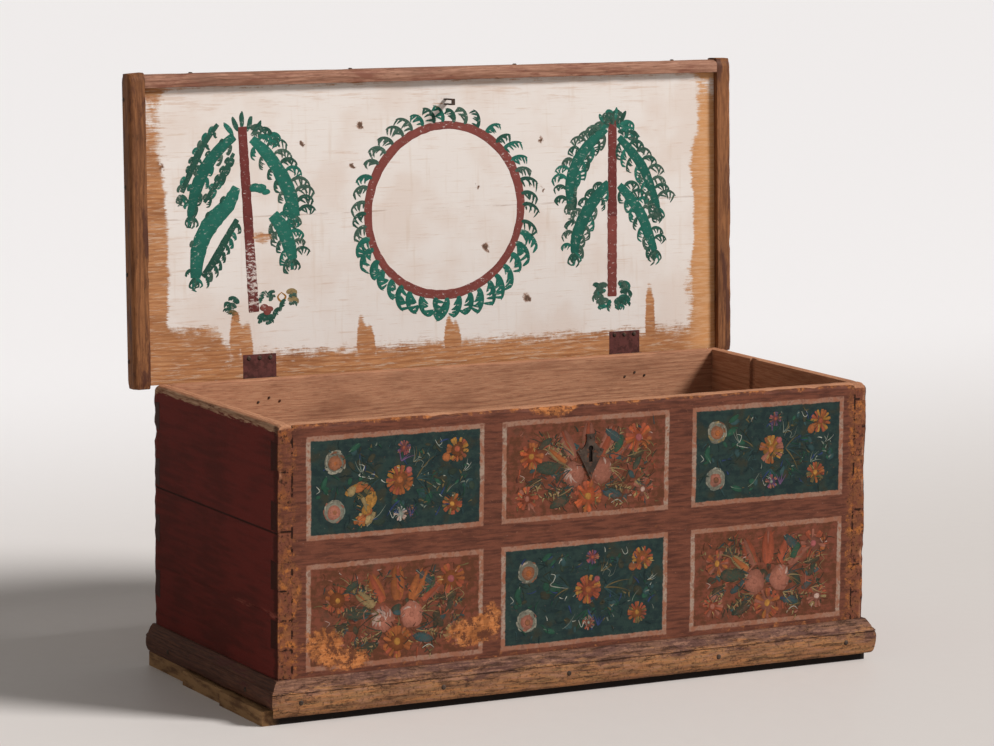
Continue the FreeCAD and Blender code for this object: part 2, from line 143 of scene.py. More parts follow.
# The long scuff on the sides: where it starts and where it is full, going forward
SCUFF_START = -60.0
SCUFF_FULL = -130.0


def tint(red, green, blue):
    """A colour written as eight-bit display values, in linear light."""
    def channel(value):
        share = value / 255.0
        return share / 12.92 if share <= 0.04045 else ((share + 0.055) / 1.055) ** 2.4
    return (channel(red), channel(green), channel(blue), 1.0)


# Colours
# Pale pine for painted light on the lid's right end
PINE_PALE = tint(206, 150, 98)
FRONT_PINE_PALE = tint(188, 122, 74)
FRONT_PINE_MID = tint(162, 96, 52)
FRONT_PINE_DARK = tint(108, 64, 36)
LID_PINE_PALE = tint(190, 138, 96)
LID_PINE_MID = tint(160, 106, 68)
LID_PINE_DARK = tint(116, 70, 44)
INNER_PALE = tint(186, 136, 104)
INNER_MID = tint(162, 110, 82)
INNER_DARK = tint(118, 74, 54)
RAIL_RED = tint(106, 62, 47)
RAIL_DEEP = tint(74, 43, 34)
PANEL_RED = tint(110, 61, 46)
PANEL_BROWN = tint(84, 50, 34)
PANEL_GREEN = tint(39, 54, 50)
PANEL_TEAL = tint(30, 43, 43)
PANEL_OLIVE = tint(52, 50, 38)
BORDER_GREY = tint(148, 127, 112)
BORDER_PINK = tint(134, 88, 68)
OXBLOOD = tint(98, 38, 32)
OXBLOOD_DEEP = tint(80, 34, 28)
CREAM = tint(219, 210, 203)
CREAM_ROSE = tint(213, 199, 189)
CREAM_STAIN = tint(196, 172, 150)
CLEAT_BROWN = tint(110, 68, 42)
CLEAT_PALE = tint(146, 96, 60)
CLEAT_DARK = tint(70, 42, 28)
LID_RAIL_PALE = tint(170, 126, 104)
LID_RAIL_MID = tint(132, 90, 70)
LID_RAIL_DARK = tint(84, 52, 40)
LID_RAIL_RED = tint(120, 74, 58)
PLINTH_PALE = tint(124, 86, 64)
PLINTH_MID = tint(96, 64, 50)
PLINTH_DARK = tint(64, 42, 30)
PLINTH_RED = tint(84, 54, 46)
SIDE_PLINTH_PALE = tint(104, 66, 48)
SIDE_PLINTH_MID = tint(74, 46, 35)
SIDE_PLINTH_DARK = tint(48, 31, 25)
END_PALE = tint(114, 71, 46)
END_MID = tint(96, 57, 39)
END_DARK = tint(58, 35, 25)
IRON_DARK = tint(56, 46, 40)
IRON_PALE = tint(80, 67, 58)
RUST = tint(104, 58, 38)
HINGE_DARK = tint(72, 43, 39)
HINGE_RED = tint(94, 55, 51)
GRIME = tint(62, 40, 28)
GAP_DARK = tint(40, 24, 18)
# Near black for painted shade: under the front plinth and inside the keyhole's bore
SHADE_BLACK = tint(26, 19, 16)
OCHRE = tint(158, 96, 48)
RIM_PALE = tint(188, 154, 124)
RIM_MID = tint(146, 110, 84)
BASE_PALE = tint(134, 100, 66)
BASE_MID = tint(104, 74, 50)
BASE_DARK = tint(70, 48, 34)
PLINTH_ROSE = tint(150, 108, 86)
BASE_END = tint(154, 118, 80)
FINGER_END = tint(58, 28, 22)
SCUFF = tint(150, 82, 68)
KNOT_BROWN = tint(132, 88, 58)
LID_SOIL = tint(198, 172, 154)
PLINTH_GOLD = tint(164, 108, 66)
FLOOR_PALE = tint(214, 207, 202)
BACKDROP = tint(240, 238, 237)
SKY = tint(255, 252, 248)
FLOOR_WARM = tint(246, 243, 243)


class Wire:
    """One output socket of a node, with arithmetic on it."""

    def __init__(self, graph, socket):
        self.graph = graph
        self.socket = socket

    def apply(self, operation, *others):
        node = self.graph.new("ShaderNodeMath", operation=operation)
        self.graph.feed(node, self, *others)
        return Wire(self.graph, node.outputs[0])

    def __add__(self, other):
        return self.apply("ADD", other)

    def __sub__(self, other):
        return self.apply("SUBTRACT", other)

    def __mul__(self, other):
        return self.apply("MULTIPLY", other)

    def __rsub__(self, other):
        return self.apply("MULTIPLY_ADD", -1.0, other)

    __radd__ = __add__

    def size(self):
        return self.apply("ABSOLUTE")

    def least(self, other):
        return self.apply("MINIMUM", other)

    def most(self, other):
        return self.apply("MAXIMUM", other)

    def step(self, low, high):
        """Zero at low, one at high, smooth between them."""
        node = self.graph.new("ShaderNodeMapRange", interpolation_type="SMOOTHSTEP")
        self.graph.feed(node, self, low, high)
        return Wire(self.graph, node.outputs[0])


class Graph:
    """A material's node tree, with coordinates in millimetres of the part's frame."""

    def __init__(self, name):
        self.material = bpy.data.materials.new(name)
        self.material.use_nodes = True
        self.tree = self.material.node_tree
        self.shader = self.tree.nodes["Principled BSDF"]
        coordinates = self.new("ShaderNodeTexCoord")
        self.place = self.vector("SCALE", Wire(self, coordinates.outputs["Object"]), scale=1.0 / MM)
        split = self.new("ShaderNodeSeparateXYZ")
        self.feed(split, self.place)
        self.x, self.y, self.z = (Wire(self, socket) for socket in split.outputs)

    def new(self, kind, **fields):
        node = self.tree.nodes.new(kind)
        for field, value in fields.items():
            setattr(node, field, value)
        return node

    def feed(self, node, *values):
        for socket, value in zip(node.inputs, values):
            self.set(socket, value)

    def set(self, socket, value):
        if isinstance(value, Wire):
            self.tree.links.new(value.socket, socket)
        else:
            socket.default_value = value

    def vector(self, operation, first, second=None, scale=None):
        node = self.new("ShaderNodeVectorMath", operation=operation)
        self.set(node.inputs[0], first)
        if second is not None:
            self.set(node.inputs[1], second)
        if scale is not None:
            self.set(node.inputs["Scale"], scale)
        return Wire(self, node.outputs["Value" if operation == "DOT_PRODUCT" else "Vector"])

    def stretch(self, run, ratio):
        """Coordinates drawn out along the run of the grain."""
        factors = [1.0, 1.0, 1.0]
        factors[run] = 1.0 / ratio
        return self.vector("MULTIPLY", self.place, factors)

    def noise(self, grain, detail=3.0, rough=0.5, drawn=None):
        """Cloudy noise with features about grain millimetres across; drawn is what stretch takes."""
        node = self.new("ShaderNodeTexNoise")
        self.set(node.inputs["Vector"], self.stretch(*drawn) if drawn else self.place)
        self.set(node.inputs["Scale"], 1.0 / grain)
        self.set(node.inputs["Detail"], detail)
        self.set(node.inputs["Roughness"], rough)
        return Wire(self, node.outputs[0])

    def cells(self, grain):
        """Distance from the middles of cells about grain millimetres across."""
        node = self.new("ShaderNodeTexVoronoi")
        self.set(node.inputs["Vector"], self.place)
        self.set(node.inputs["Scale"], 1.0 / grain)
        return Wire(self, node.outputs["Distance"])

    def pigment(self):
        """The colour that each brush stroke carries."""
        node = self.new("ShaderNodeAttribute", attribute_name="paint")
        return Wire(self, node.outputs["Color"])

    def mix(self, share, first, second):
        node = self.new("ShaderNodeMix", data_type="RGBA")
        self.set(node.inputs["Factor"], share)
        sockets = [socket for socket in node.inputs if socket.type == "RGBA"]
        self.set(sockets[0], first)
        self.set(sockets[1], second)
        outputs = [socket for socket in node.outputs if socket.type == "RGBA"]
        return Wire(self, outputs[0])

    def coats(self, colour, *laid):
        """Coats laid over a colour one after another, each a share and a colour."""
        for share, coat in laid:
            colour = self.mix(share, colour, coat)
        return colour

    def spot(self, across, up, centre, radii):
        """One at the centre of an oval, zero at its edge and beyond."""
        side = (across - centre[0]) * (1.0 / radii[0])
        rise = (up - centre[1]) * (1.0 / radii[1])
        return (side * side + rise * rise).step(1.0, 0.0)

    def finish(self, colour, rough, height, depth, specular=0.14, metallic=None):
        """Colour, roughness and relief; depth is the relief's height in millimetres."""
        self.set(self.shader.inputs["Base Color"], colour)
        self.set(self.shader.inputs["Roughness"], rough)
        self.shader.inputs["Specular IOR Level"].default_value = specular
        if metallic is not None:
            self.set(self.shader.inputs["Metallic"], metallic)
        bump = self.new("ShaderNodeBump")
        bump.inputs["Strength"].default_value = 1.0
        bump.inputs["Distance"].default_value = depth * MM
        self.set(bump.inputs["Height"], height)
        self.tree.links.new(bump.outputs["Normal"], self.shader.inputs["Normal"])
        return self.material


# Finishes, in which g is the graph of the material being made


def pine(g, run, pale, mid, dark, ringed=0.45):
    """Bare pine: fine fibre over growth rings drawn out along the run. Gives colour and relief."""
    across = [wire for axis, wire in enumerate((g.x, g.y, g.z)) if axis != run]
    sway = g.noise(150.0, 2.0, drawn=(run, 5.0))
    ripple = g.noise(24.0, drawn=(run, 10.0))
    phase = (across[0] + across[1]) * (math.tau / RING_PITCH) + sway * 60.0 + ripple * 13.0
    rings = (phase.apply("SINE") * 0.5 + 0.5).apply("POWER", 2.5)
    rings = rings * g.noise(40.0, drawn=(run, 18.0)).step(0.36, 0.66)
    fibre = g.noise(2.2, 5.0, 0.7, drawn=(run, 18.0))
    cloud = g.noise(60.0, 5.0, 0.6, drawn=(run, 3.0))
    colour = g.coats(
        mid,
        (fibre.step(0.34, 0.66), pale),
        (rings * ringed, dark),
        (cloud.step(0.46, 0.74) * 0.55, dark),
        (fibre.step(0.60, 0.76) * 0.35, dark))
    return colour, fibre * 0.7 + rings * 0.3


def flecks(g, grain, low, high, drawn=None):
    """Coarse flecks: none where the noise is below low, full where it is above high."""
    return g.noise(grain, 5.0, 0.7, drawn).step(low, high)


def bare_spots(g, across, up, spots, strength):
    """How bare the listed spots are, added up."""
    total = 0.0
    for centre, rise, half_width, half_height, share in spots:
        total = total + g.spot(across, up, (centre, rise), (half_width, half_height)) * (share * strength)
    return total


def nearest_span(value, spans):
    """How far a value is from the nearest of some spans: negative within one."""
    result = None
    for low, high in spans:
        away = (value - (low + high) / 2.0).size() - (high - low) / 2.0
        result = away if result is None else result.least(away)
    return result


def in_panels(g):
    """How far a point of the front is from the panels' outlines: negative inside."""
    wobble = (g.noise(26.0) - 0.5) * 4.0 + (g.noise(5.0, 4.0) - 0.5) * 3.0
    return nearest_span(g.x, COLUMNS).most(nearest_span(g.z, ROWS)) + wobble


def front_ground(g):
    """The painter's grounds on the front: rails, borders, and red and green fields."""
    cloud = g.noise(60.0, 5.0, 0.6)
    mottle = g.noise(11.0, 5.0, 0.65)
    streak = g.noise(5.0, 4.0, 0.6, drawn=(X, 9.0))
    worked = (mottle * 0.5 + streak * 0.25 + cloud * 0.25).step(0.43, 0.57)
    rail = g.coats(
        RAIL_DEEP,
        ((cloud * 0.25 + streak * 0.75).step(0.36, 0.60), RAIL_RED),
        (flecks(g, 3.2, 0.56, 0.66, drawn=(X, 2.5)) * 0.6, PANEL_BROWN),
        (flecks(g, 4.2, 0.63, 0.70) * 0.6, BORDER_PINK))
    red = g.coats(PANEL_BROWN, (worked, PANEL_RED), (cloud.step(0.54, 0.70) * 0.6, PANEL_OLIVE))
    shadow = g.noise(34.0, 5.0).step(0.53, 0.70)
    green = g.coats(PANEL_TEAL, (worked, PANEL_GREEN), (shadow * 0.75, PANEL_OLIVE))
    middle = (g.x - sum(COLUMNS[1]) / 2.0).size().step(MIDDLE_REACH + 5.0, MIDDLE_REACH)
    top = g.z.step(FRONT_SEAM - 1.0, FRONT_SEAM + 1.0)
    field = g.mix((top - middle).size(), red, green)
    level = nearest_span(g.z, ROWS).step(-12.0, -7.0)
    border = g.coats(
        BORDER_PINK,
        ((cloud * 0.4 + mottle * 0.6).step(0.44, 0.56), BORDER_GREY),
        (level * 0.6, BORDER_PINK),
        (mottle.step(0.53, 0.66) * 0.7, RAIL_RED))
    inside = in_panels(g)
    return g.coats(rail, (inside.step(1.0, -1.0), border), (inside.step(-BORDER + 1.2, -BORDER - 0.8), field))


# Bare patches of the front: centre across and up, half width and half height, how bare
BARE_FRONT = (
    (-470.0, 122.0, 46.0, 40.0, 0.95),
    (-430.0, 96.0, 62.0, 24.0, 0.80),
    (-205.0, 118.0, 66.0, 34.0, 0.95),
    (-170.0, 138.0, 30.0, 34.0, 0.80),
    (-524.0, 214.0, 26.0, 52.0, 0.75),
    (-528.0, 120.0, 26.0, 60.0, 0.30),
    (-55.0, 470.0, 52.0, 16.0, 0.80),
    (-330.0, 320.0, 30.0, 24.0, 0.18),
)


def front_wear(g):
    """How far the front's paint is gone, from none to all."""
    patchy = g.noise(14.0, 7.0, 0.72)
    streak = g.noise(3.0, 5.0, 0.7, drawn=(X, 6.0))
    side = g.x.size()
    corner = side.step(SIDE_FACE - 50.0, SIDE_FACE - 24.0) * 0.15
    right_corner = g.x.step(SIDE_FACE - 50.0, SIDE_FACE - 30.0) * 0.10
    edge = g.z.step(RIM - 12.0, RIM - 1.0) * 0.17 + g.z.step(PLINTH_TOP + 20.0, PLINTH_TOP + 2.0) * 0.10
    ends = side.step(SIDE_FACE - 12.0, SIDE_FACE) * 0.10
    bare = corner + right_corner + edge + ends + bare_spots(g, g.x, g.z, BARE_FRONT, 0.34)
    return (patchy * 0.66 + streak * 0.34 + bare).step(0.60, 0.76)


def aged_corner(g):
    """Dirty wood at the corner joints: red-brown and ochre, full of black specks."""
    return g.coats(
        RAIL_RED,
        (g.noise(15.0, 6.0, 0.7).step(0.46, 0.60), END_PALE),
        (g.noise(22.0, 6.0, 0.75).step(0.52, 0.58) * 0.9, OCHRE),
        (g.noise(6.0, 6.0, 0.75).step(0.51, 0.59), END_DARK))


def joint_gaps(g):
    """Dark, broken gaps round the fingers of the front corners."""
    rise = (TOP_FINGER_FOOT - g.z) * (1.0 / FINGER_PITCH)
    level = (rise - rise.apply("ROUND")).size() * FINGER_PITCH
    side = g.x.size() - (SIDE_FACE - WALL)
    beyond = side.step(-2.0, 0.0)
    upright = side.size().step(2.4, 0.8)
    return (level.step(2.4, 0.8) * beyond).most(upright) * flecks(g, 24.0, 0.50, 0.58)


def in_fingers(g, wood):
    """Wood that turns dark with old paint where the boards lap at the corners."""
    return g.mix(g.x.size().step(SIDE_FACE - 24.0, SIDE_FACE - 20.0), wood, FINGER_END)


def finger_ends(g, colour):
    """Old dark paint on the sawn ends of the boards."""
    end = g.x.size().step(SIDE_FACE - 1.4, SIDE_FACE - 0.6)
    return g.mix(end, colour, g.mix(flecks(g, 6.0, 0.50, 0.62) * 0.6, FINGER_END, END_DARK))


def front_wood(g):
    """Bare pine of the front, dark with residue and aged at the corners. Gives colour and relief."""
    wood, relief = pine(g, X, FRONT_PINE_PALE, FRONT_PINE_MID, FRONT_PINE_DARK, ringed=0.2)
    residue = (flecks(g, 8.0, 0.51, 0.60) * 0.85).most(flecks(g, 20.0, 0.51, 0.58))
    wood = g.coats(
        wood,
        (flecks(g, 18.0, 0.46, 0.60) * 0.6, FRONT_PINE_DARK),
        (residue * 0.85, RAIL_DEEP),
        (g.x.size().step(SIDE_FACE - 55.0, SIDE_FACE - 30.0) * 0.8, aged_corner(g)))
    return wood, relief


def front_paint(name, pigment=False):
    """Painted front pine; with a pigment, brush strokes that wear as their ground does."""
    g = Graph(name)
    wood, relief = front_wood(g)
    paint = front_ground(g)
    dust = flecks(g, 3.4, 0.63, 0.72)
    if pigment:
        thin = g.noise(2.6, 5.0, 0.75).step(0.46, 0.66) * 0.45
        rubbed = flecks(g, 24.0, 0.50, 0.66) * 0.45
        paint = g.mix(thin.most(rubbed), g.pigment(), paint)
    else:
        paint = g.mix(dust * 0.45, paint, BORDER_GREY)
    wear = front_wear(g)
    gaps = joint_gaps(g)
    outside = g.coats(paint, (wear, wood), (gaps, GAP_DARK))
    outer = g.y.step(FRONT_FACE + PAINT_SKIN + 2.0, FRONT_FACE + PAINT_SKIN)
    inner, _ = pine(g, X, INNER_PALE, INNER_MID, INNER_DARK)
    # Painted shade: the walls of the keyhole's bore are made near black
    bore = g.spot(g.x, g.z, KEYHOLE, KEYHOLE_REACH).step(0.02, 0.10)
    bore = bore * g.y.step(FRONT_FACE + KEYHOLE_DEPTH + 2.0, FRONT_FACE + KEYHOLE_DEPTH)
    colour = g.coats(in_fingers(g, inner), (outer, outside), (bore, SHADE_BLACK))
    height = relief * 0.35 + wear * -0.5 + dust * 0.2 + gaps * -1.5
    return g.finish(finger_ends(g, colour), wear * 0.15 + 0.62, height, 0.5, specular=0.07)


def side_paint(name):
    """Oxblood sides with scuffs; worn end grain at the corners and bare pine inside."""
    g = Graph(name)
    wood, relief = pine(g, Y, RIM_PALE, RIM_MID, END_MID)
    mottle = g.noise(120.0, 4.0) * 0.5 + g.noise(8.0, 4.0, drawn=(Y, 9.0)) * 0.5
    front_edge = g.y.step(FRONT_FACE + 20.0, FRONT_FACE + 2.0) * 0.16
    back_edge = g.y.step(HALF_DEPTH - 23.0, HALF_DEPTH - 2.0) * 0.18
    edge = g.z.step(RIM - 20.0, RIM - 6.0) * 0.36 + front_edge + back_edge
    wear = (g.noise(4.0, 6.0, 0.7, drawn=(Y, 7.0)) + edge).step(0.70, 0.82)
    rub = g.noise(16.0, 5.0, 0.7, drawn=(Y, 3.0))
    strip = (g.y + (rub - 0.5) * 40.0).step(FRONT_FACE + 19.0, FRONT_FACE + 7.0)
    scuff = (g.z - SIDE_SEAMS[0] + (rub - 0.5) * 30.0).size().step(4.0, 1.0)
    scuff = scuff * g.y.step(SCUFF_START, SCUFF_FULL) * rub.step(0.40, 0.56)
    seam = (g.z - SIDE_SEAMS[1]).size().step(2.6, 0.8)
    outside = g.coats(
        g.mix(mottle.step(0.38, 0.62), OXBLOOD_DEEP, OXBLOOD),
        (wear * 0.85, g.mix(g.z.step(RIM - 23.0, RIM - 38.0), wood, END_MID)),
        (strip * 0.8, FINGER_END),
        (scuff * 0.55, SCUFF),
        (seam * 0.8, GAP_DARK))
    end_grain = g.coats(
        aged_corner(g),
        (flecks(g, 11.0, 0.47, 0.58) * 0.7, RAIL_RED),
        (joint_gaps(g), GAP_DARK))
    outer = g.x.size().step(SIDE_FACE - PAINT_SKIN - 2.0, SIDE_FACE - PAINT_SKIN)
    ends = g.y.size().step(HALF_DEPTH - 2.0, HALF_DEPTH - 0.6)
    inner, _ = pine(g, Y, INNER_PALE, INNER_MID, INNER_DARK)
    colour = g.coats(inner, (outer, outside), (ends, end_grain))
    height = relief * 0.4 + wear * -0.4 + flecks(g, 5.0, 0.48, 0.60) * 0.3 + seam * -1.0
    return g.finish(colour, wear * 0.1 + 0.74, height, 0.5, specular=0.06)


def back_wood(name):
    """Bare back boards: rough pine inside, greyer and stained outside, dark painted ends."""
    g = Graph(name)
    wood, relief = pine(g, X, INNER_PALE, INNER_MID, INNER_DARK)
    saw = g.noise(3.0, 4.0, 0.7, drawn=(X, 9.0))
    wood = g.coats(
        wood,
        (saw.step(0.54, 0.68) * 0.45, INNER_DARK),
        (flecks(g, 11.0, 0.54, 0.66, drawn=(X, 4.0)) * 0.35, INNER_DARK))
    stain = g.noise(90.0, 6.0, 0.6, drawn=(X, 3.0)).step(0.42, 0.66)
    outside = g.coats(wood, (0.4, CLEAT_BROWN), (stain * 0.5, CLEAT_DARK))
    outer = g.y.step(HALF_DEPTH - 4.0, HALF_DEPTH - 2.0)
    colour = finger_ends(g, g.mix(outer, in_fingers(g, wood), outside))
    return g.finish(colour, saw * 0.2 + 0.6, relief * 0.5 + saw * 0.5, 0.7)


def lid_frame(g):
    """Across, up and outward places on the open lid's painted face."""
    up = g.vector("DOT_PRODUCT", g.place, LID_RISE) - LID_FOOT.dot(LID_RISE)
    out = g.vector("DOT_PRODUCT", g.place, LID_OUT) - LID_FOOT.dot(LID_OUT)
    return g.x, up, out


# Bare patches of the lid's inside: centre across and up, half width and half height, how bare
BARE_LID = (
    (-156.0, 62.0, 12.0, 44.0, 0.62),
    (-141.0, 44.0, 13.0, 48.0, 0.66),
    (13.0, 52.0, 11.0, 44.0, 0.62),
    (26.0, 40.0, 13.0, 48.0, 0.66),
    (418.0, 70.0, 13.0, 66.0, 0.75),
    (-392.0, 78.0, 15.0, 52.0, 0.66),
    (-372.0, 62.0, 14.0, 50.0, 0.66),
    (-470.0, 60.0, 90.0, 46.0, 0.60),
    (-540.0, 200.0, 34.0, 220.0, 0.55),
    (540.0, 220.0, 40.0, 260.0, 0.62),
    (512.0, 330.0, 20.0, 60.0, 0.35),
    (516.0, 110.0, 40.0, 90.0, 0.40),
    (-340.0, 236.0, 26.0, 16.0, 0.55),
    (-3.0, 455.0, 20.0, 16.0, 0.30),
)

# Where the lid's paint thins, from sound to bare, up its face and across it
BARE_FOOT = (74.0, 8.0)
BARE_HEAD = (478.0, 494.0)
BARE_LEFT = (-492.0, -538.0)
BARE_RIGHT = (498.0, 530.0)

# Where the lid's paint is soiled, where its bare wood is washed over, and where it is made paler as painted
# light against the right cleat's shadow
SOILED_HEAD = (425.0, 490.0)
SOILED_LEFT = (-380.0, -480.0)
WASHED_RIGHT = (460.0, 540.0)
LIT_RIGHT = (470.0, 530.0)

# Where the foot of the first trunk is rubbed through
RUBBED_TRUNK = (-358.0, 165.0)
RUBBED_REACH = (32.0, 85.0)

# Knots and old nail holes in the lid: how far their outlines stray, then place across and up, and radius
KNOT_STRAY = 26.0
LID_KNOTS = (
    (-153.0, 420.0, 9.0),
    (199.0, 383.0, 7.0),
    (203.0, 295.0, 5.0),
    (88.0, 200.0, 8.0),
    (168.0, 107.0, 9.0),
    (-525.0, 362.0, 9.0),
    (-262.0, 390.0, 5.0),
    (74.0, 305.0, 5.0),
    (-170.0, 352.0, 6.0),
)


def lid_wear(g, across, up):
    """How far the lid's cream paint is gone, from none to all."""
    patchy = g.noise(20.0, 6.0, 0.66)
    streak = g.noise(2.6, 6.0, 0.7, drawn=(X, 14.0))
    edges = up.step(*BARE_FOOT) * 0.40 + up.step(*BARE_HEAD) * 0.18
    ends = across.step(*BARE_LEFT) * 0.26 + across.step(*BARE_RIGHT) * 0.26
    bare = edges + ends + bare_spots(g, across, up, BARE_LID, 0.6)
    return (patchy * 0.42 + streak * 0.58 + bare).step(0.66, 0.82)


def lid_cream(g, across, up, wear):
    """The lid's cream ground with clouds, drips, soil, a crack and scratches. Gives colour and scratches."""
    soil = g.noise(5.0, 5.0, 0.7, drawn=(X, 14.0))
    soiled = soil + up.step(*SOILED_HEAD) * 0.09 + across.step(*SOILED_LEFT) * 0.05
    crack = (up - LID_SEAM + (soil - 0.5) * 3.0).size().step(1.8, 0.6) * soil.step(0.46, 0.58)
    scratch = g.noise(2.2, 4.0, 0.6, drawn=(X, 30.0))
    cream = g.coats(
        CREAM,
        (g.noise(110.0, 4.0).step(0.42, 0.66), CREAM_ROSE),
        (g.noise(9.0, drawn=(Z, 12.0)).step(0.56, 0.76) * 0.25, CREAM_STAIN),
        (soiled.step(0.57, 0.72) * 0.6, LID_SOIL),
        (crack * 0.4, KNOT_BROWN),
        (scratch.step(0.60, 0.74) * 0.55, CREAM_STAIN),
        (wear.step(0.0, 0.6) * 0.4, CREAM_STAIN))
    return cream, scratch


def lid_knots(g, across, up, colour):
    """Knots and old nail holes that show through the lid's paint."""
    stray = (g.noise(9.0, 5.0, 0.7) - 0.5) * KNOT_STRAY
    for centre, rise, radius in LID_KNOTS:
        knot = g.spot(across + stray, up - stray, (centre, rise), (radius, radius))
        colour = g.mix(knot.step(0.0, 0.7) * 0.8, colour, KNOT_BROWN)
        colour = g.mix(knot.step(0.62, 0.95) * 0.75, colour, GRIME)
    return colour


def lid_paint(name, pigment=False):
    """Cream-painted lid lining, worn to orange pine; with a pigment, strokes laid on it."""
    g = Graph(name)
    across, up, out = lid_frame(g)
    wood, relief = pine(g, X, LID_PINE_PALE, LID_PINE_MID, LID_PINE_DARK)
    wash = g.noise(3.4, 6.0, 0.7, drawn=(X, 10.0)) + across.step(*WASHED_RIGHT) * 0.08
    wood = g.coats(
        wood,
        (wash.step(0.52, 0.66) * 0.6, CREAM_STAIN),
        # Painted light: the bare wood by the right cleat is made paler to offset the cleat's shadow
        (across.step(*LIT_RIGHT) * 0.6, PINE_PALE))
    wear = lid_wear(g, across, up) * out.step(-2.0, -1.0)
    paint, scratch = lid_cream(g, across, up, wear)
    if pigment:
        rubbed = g.spot(across, up, RUBBED_TRUNK, RUBBED_REACH) * 0.12
        thin = (g.noise(4.0, 6.0, 0.72, drawn=(X, 2.0)) + rubbed).step(0.58, 0.70) * 0.75
        paint = g.mix(thin, g.pigment(), paint)
    paint = lid_knots(g, across, up, paint)
    streak = g.noise(6.0, 4.0, drawn=(X, 9.0))
    rubbed_top = g.noise(40.0, 7.0, 0.72, drawn=(X, 3.0)).step(0.58, 0.70)
    outside = g.coats(RAIL_DEEP, (streak.step(0.35, 0.65), RAIL_RED), (rubbed_top * 0.7, LID_PINE_MID))
    colour = g.coats(
        paint,
        (wear, wood),
        (out.step(-1.0, -2.0), wood),
        (out.step(2.0 - LID_THICK, 1.0 - LID_THICK), outside))
    height = relief * 0.3 + wear * -0.4 + scratch * -0.2
    return g.finish(colour, wear * 0.15 + 0.6, height, 0.4, specular=0.08)


def worn_wood(name, run, pale, mid, dark, traces, share):
    """Bare, handled wood with traces of old paint left in it."""
    g = Graph(name)
    wood, relief = pine(g, run, pale, mid, dark)
    left = g.noise(24.0, 6.0, 0.7, drawn=(run, 5.0)).step(share, share + 0.12)
    grime = flecks(g, 5.0, 0.56, 0.72, drawn=(run, 4.0))
    colour = g.coats(wood, (left * 0.85, traces), (grime * 0.6, GRIME))
    height = relief * 0.7 + left * 0.3 + grime * -0.3
    return g.finish(colour, left * -0.1 + 0.66, height, 0.7)


def plinth_wood(name):
    """Front plinth: dirty, paint-stained bevel over a worn, splintered foot."""
    g = Graph(name)
    wood, relief = pine(g, X, PLINTH_PALE, PLINTH_MID, PLINTH_DARK)
    foot, _ = pine(g, X, PLINTH_GOLD, BASE_PALE, PLINTH_MID)
    ragged = g.noise(16.0, 7.0, 0.75, drawn=(X, 3.5))
    splinter = g.noise(7.0, 6.0, 0.75, drawn=(X, 6.0))
    low = (g.z + (ragged - 0.5) * 110.0).step(QUIRK_LEVEL + 7.0, QUIRK_LEVEL - 7.0)
    left = g.noise(26.0, 7.0, 0.75, drawn=(X, 3.0)).step(0.46, 0.56)
    grime = splinter.step(0.53, 0.63)
    quirk = (g.z - QUIRK_LEVEL).size().step(4.0, 1.0) * ragged.step(0.44, 0.56)
    colour = g.coats(
        g.mix(left * 0.85, wood, PLINTH_RED),
        (low, g.mix(left * 0.35, foot, PLINTH_RED)),
        (splinter.step(0.47, 0.38) * 0.6, PLINTH_ROSE),
        (grime * 0.7, GRIME),
        (flecks(g, 5.0, 0.53, 0.63) * 0.65, GRIME),
        (quirk * 0.5, GAP_DARK))
    height = relief * 0.5 + grime * -0.7 + splinter * 0.6
    return g.finish(colour, ragged * 0.2 + 0.6, height, 1.1)


def base_wood(name):
    """Bottom boards: brown inside, pale at the sawn ends, near black along the front as a painted shadow
    under the plinth.
    """
    g = Graph(name)
    wood, relief = pine(g, X, BASE_PALE, BASE_MID, BASE_DARK)
    stain = g.noise(24.0, 6.0, 0.7)
    sawn = g.mix(g.noise(12.0, 5.0, 0.6, drawn=(Y, 5.0)).step(0.40, 0.64), BASE_END, BASE_MID)
    # Painted shadow: the front faces under the plinth are made near black, fading out at the left end
    plinth_shadow = g.y.step(FRONT_FACE + 6.0, FRONT_FACE + 1.0) * g.x.step(-SIDE_FACE - 24.0, -SIDE_FACE + 6.0)
    wood = g.coats(
        wood,
        (stain.step(0.52, 0.66) * 0.6, GRIME),
        (g.x.size().step(SIDE_FACE - 4.0, SIDE_FACE), sawn),
        (plinth_shadow, SHADE_BLACK))
    return g.finish(wood, stain * 0.2 + 0.62, relief * 0.7, 0.7)


def iron(name, pale, dark, rust, amount):
    """Hammered iron, darkened and rusted in patches."""
    g = Graph(name)
    hammer = g.cells(7.0)
    bloom = g.noise(9.0, 6.0, 0.7)
    rusty = bloom.step(0.62 - amount, 0.72 - amount)
    colour = g.coats(dark, (g.noise(14.0).step(0.38, 0.68), pale), (rusty, rust))
    height = hammer * 0.5 + bloom * 0.3
    return g.finish(colour, rusty * 0.25 + 0.6, height, 0.12, specular=0.08, metallic=rusty * -0.2 + 0.25)


def floor_finish(name):
    """A pale floor that whitens away behind the object."""
    g = Graph(name)
    dust = g.noise(30.0, 5.0)
    colour = g.mix(g.y.step(FLOOR_TURN, FLOOR_WHITE), FLOOR_PALE, FLOOR_WARM)
    return g.finish(colour, dust * 0.2 + 0.38, dust, 0.05, specular=0.2)


def polar(spot, degrees, reach):
    """The place at a heading and a distance from a spot."""
    angle = math.radians(degrees)
    return (spot[0] + math.cos(angle) * reach, spot[1] + math.sin(angle) * reach)


def between(values, share):
    """The value at a share of the way along a row of values."""
    place = share * (len(values) - 1)
    low = min(int(place), len(values) - 2)
    return values[low] + (values[low + 1] - values[low]) * (place - low)


